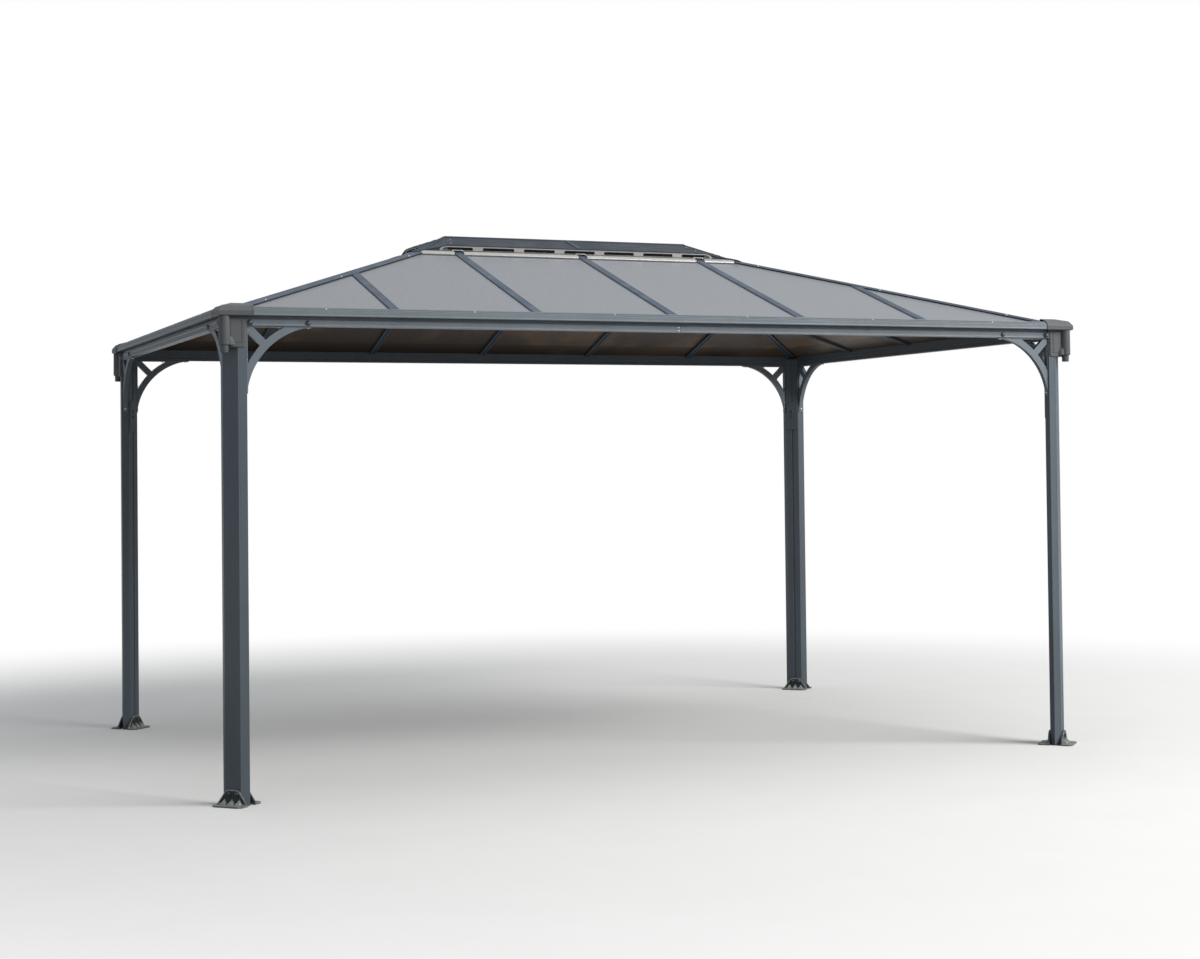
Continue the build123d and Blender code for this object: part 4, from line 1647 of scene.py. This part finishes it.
@dataclass
class SheetEnds:
    """Thin closing strips over the lower edge of each roof sheet."""

    width: float = 0.020
    rise: float = 0.0012
    front: float = 0.0012
    drop: float = 0.0088
    seat: float = 0.0002
    edge: float = 0.0255
    end_gap: float = 0.020

    def build(self) -> None:
        """Model the strips of each slope, one in each bay."""
        foot = Vector((0, -PLAN.sheet_foot - 0.0004, PLAN.roof_height(-PLAN.sheet_foot)))
        section = [(-self.front, -self.drop), (0, -self.drop), (0, self.seat), (self.width, self.seat)]
        section += [(self.width, self.rise), (-self.front, self.rise)]
        for side in Side:
            strips = []
            limit = side.half - self.end_gap
            for n in range(side.bays):
                low = max((n - side.bays / 2) * PLAN.bay + self.edge, -limit)
                high = min((n + 1 - side.bays / 2) * PLAN.bay - self.edge, limit)
                points = laid_out(section, foot + RIGHT * low, PLAN.up_slope, PLAN.slope_normal)
                strip = Work.traced("strip", points, RIGHT * (high - low))
                strips.append(strip.soften(0.0004, 1, 1))
            work = joined(strips, f"{side.label}_sheet_ends").move(side.place)
            work.dress(Finish.BAR, (), Finish.BAR_EDGE)


# The upper tier


@dataclass
class VentRail:
    """The pale rail round the throat: it arches over the rafters' ends, above dark strips that are painted
    shadow at its foot.
    """

    foot: float = 0.044
    inner: float = 0.022
    lower_face: float = 0.004
    arch_half: float = 0.0255
    arch_height: float = 0.0120
    hump_rise: float = 0.0070
    hump_shoulder: float = 0.006
    hump_crown: float = 0.002
    hump_out: float = 0.013
    rounding: float = 0.006
    edge_rounding: float = 0.004
    apron_width: float = 0.020
    apron_height: float = 0.0022
    apron_lap: float = 0.003
    rafter_gap: float = 0.0245
    hip_clearance: float = 0.0425

    def section(self) -> list[Point]:
        """Section by distance outside the vent line and height above the throat frame."""
        fall, face, top = self.foot * PLAN.slope, self.lower_face, PLAN.rail_height
        front = rounded_end((self.foot, face - fall), 0.001 - self.foot, top + fall - face, 10)
        back = [(-self.inner, PLAN.fit), (0.0, PLAN.fit), (self.foot, PLAN.fit - fall)]
        return [*back, *front, (-self.inner, top)]

    def crossings(self, side: Side) -> list[float]:
        """Places along a side where a rafter reaches the rail."""
        reaching = [n for n in range(-3, 4) if abs(n) * PLAN.bay < side.half - PLAN.vent_run]
        return [n * PLAN.bay for n in reaching]

    def hump(self, x: float) -> Work:
        """The raised part over a rafter's end, in the side frame."""
        low, top = PLAN.frame_top + 0.0005, PLAN.frame_top + PLAN.rail_height + self.hump_rise
        wide, narrow = self.arch_half + self.hump_shoulder, self.arch_half + self.hump_crown
        outline = [(x - wide, low), (x + wide, low), (x + narrow, top), (x - narrow, top)]
        work = Work.plate("hump", outline, PLAN.vent_run + self.inner, -self.inner - self.hump_out)
        front, edge = PLAN.vent_run - self.hump_out + 0.0001, top - 0.001
        work.bevel(self.rounding, 5, lambda middle, way: middle.y < front and middle.z > edge)
        return work.bevel(self.edge_rounding, 4, lambda middle, way: abs(way.y) > 0.9 and middle.z > edge)

    def side_rail(self, side: Side) -> Work:
        """The rail of one side, mitred at its ends and arched over the rafters."""
        half = side.half - PLAN.vent_run
        reach, line, top = half + 0.05, PLAN.vent_run, PLAN.frame_top
        points = [Vector((-reach, line - out, top + up)) for out, up in self.section()]
        rail = Work.traced("rail", points, RIGHT * (2 * reach))
        for turn in (1, -1):
            rail.slice((turn * half, line, 0), (turn, 1, 0))
        for x in self.crossings(side):
            rail.combine("UNION", self.hump(x))
            low = (x - self.arch_half, line - 0.05, top - 0.05)
            high = (x + self.arch_half, line + 0.009, top + self.arch_height)
            opening = Work.block("opening", low, high)
            opening.bevel(self.edge_rounding, 4, lambda middle, way: abs(way.y) > 0.9 and middle.z > top)
            rail.combine("DIFFERENCE", opening)
        return rail.smooth(30).move(side.place)

    def apron(self, side: Side) -> list[Work]:
        """Dark strips of one side on the sheets below the rail, between the rafters: painted shadow of the
        rail.
        """
        run = PLAN.vent_run - self.foot - self.apron_width
        width, high = self.apron_width / cos(PLAN.pitch) + self.apron_lap, self.apron_height
        section = [(0, PLAN.fit), (width, PLAN.fit), (width, high), (0.001, high)]
        half = side.half - PLAN.vent_run
        stops = [-half - self.foot]
        for x in self.crossings(side):
            stops += [x - self.rafter_gap, x + self.rafter_gap]
        stops.append(half + self.foot)
        made = []
        for start, stop in zip(stops[::2], stops[1::2]):
            foot = Vector((start, run, PLAN.roof_height(run)))
            points = laid_out(section, foot, PLAN.up_slope, PLAN.slope_normal)
            strip = Work.traced("apron", points, RIGHT * (stop - start))
            for turn in (1, -1):
                strip.slice((turn * (half - self.hip_clearance), PLAN.vent_run, 0), (turn, 1, 0))
            made.append(strip.soften(0.0004, 1, 1).move(side.place))
        return made

    def build(self) -> None:
        """Model the rail and the painted shadow below it."""
        rails = [self.side_rail(side) for side in Side]
        joined(rails, "vent_rail_ring").dress(Finish.RAIL, ["vent_rail"])
        strips = [work for side in Side for work in self.apron(side)]
        # The dark strips below the rail are painted shadow of the rail on the sheets.
        joined(strips, "vent_rail_apron").dress(Finish.COVER, (), Finish.COVER_EDGE)


@dataclass
class VentStrips:
    """Slotted strips with long rounded ends, a thin bead round them, and a black line below: painted shade
    in the gap above the rail.

    The two kinds of side give their number of slots, the run of the strip's rounded ends, and
    what its outermost slots lack at the ends.
    """

    long_side: tuple[int, float, float] = (7, 0.045, 0.005)
    short_side: tuple[int, float, float] = (1, 0.022, 0.0)
    height: float = 0.0275
    thickness: float = 0.003
    bead: float = 0.0016
    bead_rise: float = 0.0008
    seal_height: float = 0.0042
    slot_length: float = 0.170
    slot_height: float = 0.015
    slot_pitch: float = 0.224
    slot_low: float = 0.0063
    slot_rounding: float = 0.003
    end_share: float = 0.72
    band: float = 0.016

    def slot(self, low: Point, high: Point, left_run: float, right_run: float) -> list[Point]:
        """Outline of a slot, rounded back at its upper corners.

        Args:
            low: Its lower left corner.
            high: Its upper right corner.
            left_run: Reach of the left rounding.
            right_run: Reach of the right rounding.

        Returns:
            The points in order.
        """
        rise = high[1] - low[1]
        right = rounded_end((high[0], low[1]), -right_run, rise)
        return right + rounded_end(low, left_run, rise)[::-1]

    def strip(self, side: Side) -> Work:
        """One strip, in place."""
        slots, end_run, trim = self.long_side if side.is_long else self.short_side
        slot_reach = ((slots - 1) * self.slot_pitch + self.slot_length) / 2 - trim
        half = slot_reach + self.band
        low, face = PLAN.frame_top + PLAN.rail_height, PLAN.vent_run + PLAN.vent_setback
        outline = rounded_end((half, low), -end_run, self.height)
        outline += rounded_end((-half, low), end_run, self.height)[::-1]
        work = Work.plate("strip", outline, face + self.thickness, -self.thickness)
        work.inset(self.bead, -self.bead_rise, lambda _, normal: normal.y < -0.99)
        foot, long_run = low + self.slot_low, end_run * self.end_share
        for n in range(slots):
            x = (n - (slots - 1) / 2) * self.slot_pitch
            start = max(x - self.slot_length / 2, -slot_reach)
            stop = min(x + self.slot_length / 2, slot_reach)
            left = long_run if n == 0 else self.slot_rounding
            right = long_run if n == slots - 1 else self.slot_rounding
            outline = self.slot((start, foot), (stop, foot + self.slot_height), left, right)
            work.combine("DIFFERENCE", Work.plate("slot", outline, face + 0.02, -0.04))
        # A black line along the strip's foot: painted shade in the gap between strip and rail.
        seal = Work.block("seal", (-half, face - 0.0012, low), (half, face + 0.001, low + self.seal_height))
        seal.soften(0.0005, 2).tint(1)
        return work.soften(0.0004, 1).join(seal).move(side.place)

    def build(self) -> None:
        """Model the four strips."""
        strips = [self.strip(side) for side in Side]
        joined(strips, "vent_slotted_strips").dress(Finish.STRIP, ["vent_strips"], Finish.SEAL)


@dataclass
class VentCover:
    """Small hipped cover of ribbed sheets, with bars over its joints."""

    overhang: float = 0.002
    thickness: float = 0.004
    strip_top: float = 0.037
    long_leg: float = 0.143
    short_leg: float = 0.106
    ribs: tuple[float, ...] = (0.006, 0.036, 0.084, 0.132)
    rib_width: float = 0.008
    rib_rise: float = 0.0016
    rib_slant: float = 0.0012
    corner_lift: float = 0.0017
    bar: float = 0.014
    bar_gap: float = 0.0004
    bar_height: float = 0.004
    bar_slant: float = 0.001
    bar_crest: float = 0.003
    hip_drop: float = 0.0012
    ridge_end: float = 0.004
    flat_gap: float = 0.0003
    flat_slant: float = 0.002
    screw: DomeHead = DomeHead(0.0032, 0.0022, 0.0, 12)
    screw_shares: tuple[float, float] = (0.35, 0.75)
    screw_back: float = 0.022
    screw_spread: float = 0.048
    screw_lean: Point = (0.32, 0.95)

    @property
    def half_length(self) -> float:
        """Half length of the cover."""
        return PLAN.vent_half_length - PLAN.vent_setback + self.overhang

    @property
    def half_width(self) -> float:
        """Half width of the cover."""
        return PLAN.vent_half_width - PLAN.vent_setback + self.overhang

    @property
    def edge_height(self) -> float:
        """Height of the upper face at the cover's edge."""
        lift = (PLAN.fit + self.thickness) / cos(PLAN.pitch)
        return PLAN.frame_top + self.strip_top + lift - self.overhang * PLAN.slope

    @property
    def ridge(self) -> Vector:
        """The right end of the ridge."""
        height = self.edge_height + self.half_width * PLAN.slope
        return Vector((self.half_length - self.half_width, 0, height))

    @property
    def corner(self) -> Vector:
        """Where the cover's back right corner meets the rail."""
        height = PLAN.frame_top + PLAN.rail_height + self.corner_lift
        return Vector((self.half_length, self.half_width, height))

    def sheet(self, side: Side) -> Work:
        """One ribbed slope of the cover, between the hoods at its ends."""
        half, depth = self.half_length, self.half_width
        leg, apex = self.long_leg, self.half_length - self.half_width
        if not side.is_long:
            half, depth, leg, apex = depth, half, self.short_leg, 0.0
        length = self.half_width / cos(PLAN.pitch)
        section = [(0.0, -self.thickness), (length, -self.thickness), (length, 0.0)]
        for rib in reversed(self.ribs):
            far = rib + self.rib_width
            section += [(far, 0.0), (far - self.rib_slant, self.rib_rise)]
            section += [(rib + self.rib_slant, self.rib_rise), (rib, 0.0)]
        section.append((0.0, 0.0))
        foot = Vector((-half, -depth, self.edge_height))
        points = laid_out(section, foot, PLAN.up_slope, PLAN.slope_normal)
        work = Work.traced("cover", points, RIGHT * (2 * half))
        if side.is_long:
            work.slice((0, 0, 0), (0, 1, 0))
        lean = half - leg - apex
        for turn in (1, -1):
            work.slice((turn * (half - leg), -depth, 0), (turn * self.half_width, lean, 0))
        return work.move(side.turn)

    def bar_section(self, drop: float) -> list[Point]:
        """Section of a folded bar about its top line, its edges lower by a drop."""
        edge, crest, top = self.bar, self.bar_crest, self.bar_height
        low, high = self.bar_gap - drop, top - drop - self.bar_slant
        under = [(-edge, low), (0, self.bar_gap), (edge, low)]
        return under + [(edge, high), (crest, top), (-crest, top), (-edge, high)]

    def bars(self) -> list[Work]:
        """Bars over the ridge, the hips and the middle joints."""
        ridge, corner, past = self.ridge, self.corner, self.ridge_end
        section = self.bar_section(self.bar * PLAN.slope)
        points = [Vector((-ridge.x - past, y, ridge.z + z)) for y, z in section]
        made = [Work.traced("ridge", points, RIGHT * (2 * ridge.x + 2 * past))]
        for sx, sy in CORNER_SIGNS:
            top = Vector((sx * ridge.x, 0, ridge.z))
            low = Vector((sx * corner.x, sy * corner.y, corner.z))
            across = Vector((-sy, sx, 0)).normalized()
            points = laid_out(self.bar_section(self.hip_drop), low, across)
            made.append(Work.traced("hip", points, top - low))
        edge, crest = self.bar, self.bar - self.flat_slant
        flat = [(-edge, self.flat_gap), (edge, self.flat_gap)]
        flat += [(crest, self.bar_height), (-crest, self.bar_height)]
        start = Vector((0, -self.half_width, self.edge_height))
        for side in (Side.FRONT, Side.BACK):
            points = laid_out(flat, start, RIGHT, PLAN.slope_normal)
            bar = Work.traced("middle", points, PLAN.up_slope * (self.half_width / cos(PLAN.pitch)))
            bar.slice((0, -self.half_width, 0), (0, -1, 0)).slice((0, -0.0002, 0), (0, 1, 0))
            made.append(bar.move(side.turn))
        return made

    def screws(self) -> None:
        """Two bright screws along each edge of the long slopes."""
        spots = []
        for sx, sy in CORNER_SIGNS:
            for share in self.screw_shares:
                run = share * self.half_width
                x = sx * (self.ridge.x - self.screw_back + self.screw_spread * share)
                spot = (x, sy * run, self.ridge.z - run * PLAN.slope)
                spots.append(pointing((0, sy * self.screw_lean[0], self.screw_lean[1]), spot))
        self.screw.row("cover_screws", spots).dress(Finish.SCREW)

    def build(self) -> None:
        """Model the cover, its bars and its screws."""
        sheets = [self.sheet(side).soften(0.0004, 1) for side in Side]
        joined(sheets, "vent_cover_sheets").dress(Finish.COVER, ["vent_cover"])
        bars = [bar.soften(0.0006, 1, 1) for bar in self.bars()]
        # The middle bars' tops take the lighter edge paint: partly their own lighter tone, partly painted
        # light on their tops.
        for bar in bars[-2:]:
            bar.tint(1, lambda _, normal: normal.z > 0.5)
        joined(bars, "vent_cover_bars").dress(Finish.COVER, ["vent_bars"], Finish.COVER_EDGE)
        self.screws()


@dataclass
class VentCorners:
    """Dark hoods that fold down from the cover to the rail's corners, with walls below them."""

    cover: VentCover
    thickness: float = 0.004
    wall: float = 0.004
    wall_inset: float = 0.0082
    wall_lap: float = 0.004
    wall_tip: float = 0.008
    shoe_half: float = 0.021

    def hood(self) -> Work:
        """The hood of the back right corner, and the walls below it."""
        cover, corner = self.cover, self.cover.corner
        long_end = Vector((corner.x - cover.long_leg, corner.y, cover.edge_height))
        short_end = Vector((corner.x, corner.y - cover.short_leg, cover.edge_height))
        down = Vector((0, 0, -self.thickness))
        hood = Work.traced("hood", [long_end, corner, cover.ridge], down)
        hood.join(Work.traced("hood_end", [corner, short_end, cover.ridge], down))
        low, top = PLAN.frame_top + PLAN.rail_height - 0.001, cover.edge_height - 0.003
        back, tip = long_end.x - self.wall_lap, corner.x - self.wall_tip
        outline = [(back, low), (tip, low), (back, top)]
        y = PLAN.vent_half_width - self.wall_inset
        hood.join(Work.plate("long_wall", outline, y, -self.wall))
        back, tip = short_end.y - self.wall_lap, corner.y - self.wall_tip
        x = PLAN.vent_half_length - self.wall_inset
        outline = [Vector((x, back, low)), Vector((x, tip, low)), Vector((x, back, top))]
        return hood.join(Work.traced("short_wall", outline, Vector((-self.wall, 0, 0))))

    def shoe(self) -> Work:
        """The small cover over the rail's back right corner, down to the hip rafter."""
        corner, roof = self.cover.corner, PLAN.frame_top
        profile = [(-0.014, corner.z + 0.0085), (0.004, corner.z + 0.0050), (0.020, roof + 0.0130)]
        profile += [(0.052, roof + 0.0050), (0.068, roof - 0.0030), (0.068, roof - 0.0120)]
        profile.append((-0.014, roof + 0.0070))
        start = Vector((corner.x, corner.y, 0)) - CROSSWISE * self.shoe_half
        points = laid_out(profile, start, DIAGONAL)
        return Work.traced("shoe", points, CROSSWISE * self.shoe_half * 2).soften(0.0012, 2, 1)

    def build(self) -> None:
        """Model one corner and set mirror images at the others."""
        pattern = self.hood().soften(0.0005, 1).join(self.shoe())
        mirrors = [Matrix.Diagonal((sx, sy, 1, 1)) for sx, sy in CORNER_SIGNS]
        work = scattered(pattern, "vent_corner_pieces", mirrors)
        work.dress(Finish.COVER, ["vent_corners"], Finish.COVER_EDGE)


def finish_frame_nodes() -> None:
    """Give the frame's own nodes that stay in view their finishes."""
    kept = {
        "throat_frame": Finish.BAR,
        "front_panels": Finish.SHEET_LONG,
        "back_panels": Finish.SHEET_LONG,
        "left_panels": Finish.SHEET_SHORT,
        "right_panels": Finish.SHEET_SHORT,
    }
    for name, finish in kept.items():
        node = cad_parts[name]
        for slot in node.material_slots:
            slot.material = finish.material
        finish.slot
        log.info("%s: %s", name, finish.value[1].name)


# Studio


@dataclass
class Studio:
    """Pale floor, white surroundings, soft lamps and the camera."""

    camera_at: tuple[float, float, float] = (-3.8733, -9.9590, 1.4303)
    yaw: float = radians(22.155)
    tilt: float = radians(1.268)
    roll: float = radians(-0.641)
    lens: float = 60.41
    sensor: float = 36.0
    shift: float = -0.0496
    aim: tuple[float, float, float] = (0, 0, 1.6)
    floor_radius: float = 60.0
    floor_height: float = -0.0004
    pale_within: float = 3.3
    white_beyond: float = 7.2

    def camera(self) -> None:
        """Set the camera at the photograph's viewing angle."""
        right = Vector((cos(self.yaw), -sin(self.yaw), 0))
        ahead = Vector((sin(self.yaw) * cos(self.tilt), cos(self.yaw) * cos(self.tilt), sin(self.tilt)))
        up = right.cross(ahead)
        right_rolled = right * cos(self.roll) + up * sin(self.roll)
        up_rolled = up * cos(self.roll) - right * sin(self.roll)
        turn = Matrix((right_rolled, up_rolled, -ahead)).transposed().to_4x4()
        camera = bpy.data.objects.new("camera", bpy.data.cameras.new("camera"))
        bpy.context.scene.collection.objects.link(camera)
        camera.matrix_world = Matrix.Translation(self.camera_at) @ turn
        camera.data.lens = self.lens
        camera.data.sensor_width = self.sensor
        camera.data.shift_y = self.shift
        bpy.context.scene.camera = camera

    def floor(self) -> None:
        """Pale floor that keeps the shadow near the gazebo and turns white further out."""
        bare_bench()
        bpy.ops.mesh.primitive_circle_add(
            vertices=96, radius=self.floor_radius, fill_type="NGON", location=(0, 0, self.floor_height)
        )
        floor = Work("studio_floor")
        mix = Recipe("pale_floor")
        distance = mix.node("ShaderNodeVectorMath", {"operation": "LENGTH"}, {0: mix.place()}, 1)
        far = mix.ease(distance, self.pale_within, self.white_beyond)
        camera_ray = mix.ray("Camera")
        seen = mix.node("ShaderNodeMath", {"operation": "MAXIMUM"}, {0: camera_ray, 1: mix.ray("Glossy")})
        grain = mix.noise(mix.place(), 3.0, 3.0)
        pale = mix.blend(grain, (0.90, 0.90, 0.89), (0.94, 0.94, 0.93))
        tone = mix.blend(camera_ray, (0.30, 0.29, 0.28), pale)
        matt = mix.node("ShaderNodeBsdfDiffuse", None, {"Color": tone})
        white = mix.node("ShaderNodeEmission", None, {"Color": (1, 1, 1), "Strength": 1.0})
        floor.obj.data.materials[0] = mix.close(mix.either(far * seen, matt, white))

    def world(self) -> None:
        """White to the eye, and a weaker even light on the object."""
        mix = Recipe("white_surroundings", "World")

        def glow(colour: Colour, strength: float) -> Wire:
            """Even light from all round."""
            return mix.node("ShaderNodeBackground", None, {"Color": colour, "Strength": strength})

        even, reflected = glow((0.93, 0.96, 1.0), 0.36), glow((0.84, 0.91, 1.0), 0.46)
        light = mix.either(mix.ray("Glossy"), even, reflected)
        seen = mix.either(mix.ray("Camera"), light, glow((1.0, 1.0, 1.0), 1.0))
        bpy.context.scene.world = mix.close(seen)

    def lamp(self, name: str, place: tuple[float, float, float], size: float, power: float) -> None:
        """A square soft lamp that points at the middle of the gazebo."""
        data = bpy.data.lights.new(name, "AREA")
        data.size, data.energy, data.color = size, power, (1.0, 0.985, 0.965)
        lamp = bpy.data.objects.new(name, data)
        bpy.context.scene.collection.objects.link(lamp)
        lamp.location = place
        way = Vector(self.aim) - Vector(place)
        lamp.rotation_euler = way.to_track_quat("-Z", "Y").to_euler()

    def build(self) -> None:
        """Set up the whole studio."""
        self.camera()
        self.floor()
        self.world()
        self.lamp("key_lamp", (9.6, -10.4, 9.1), 9.0, 2300.0)
        self.lamp("top_lamp", (0.0, 0.0, 9.0), 7.0, 130.0)
        bpy.context.scene.view_settings.view_transform = "Standard"


def main() -> None:
    """Build the sub-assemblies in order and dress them."""
    logging.basicConfig(level=logging.INFO, format="%(message)s")
    cover = VentCover()
    assemblies = [
        Posts(),
        Feet(),
        EaveBars("eave_beam", "beam", beam_section(), -PLAN.post_half - PLAN.fit, False),
        EaveBars("gutter_channel", "gutter", gutter_section(), PLAN.gutter_out, True),
        GutterScrews(),
        CornerCaps(),
        CornerBrackets(),
        BeamBolts(),
        KneeBraces(),
        BracePlates(),
        Rafters(),
        HipRafters(),
        SheetEnds(),
        VentRail(),
        VentStrips(),
        cover,
        VentCorners(cover),
    ]
    for assembly in assemblies:
        assembly.build()
    finish_frame_nodes()
    Studio().build()


if __name__ == "__main__":
    main()
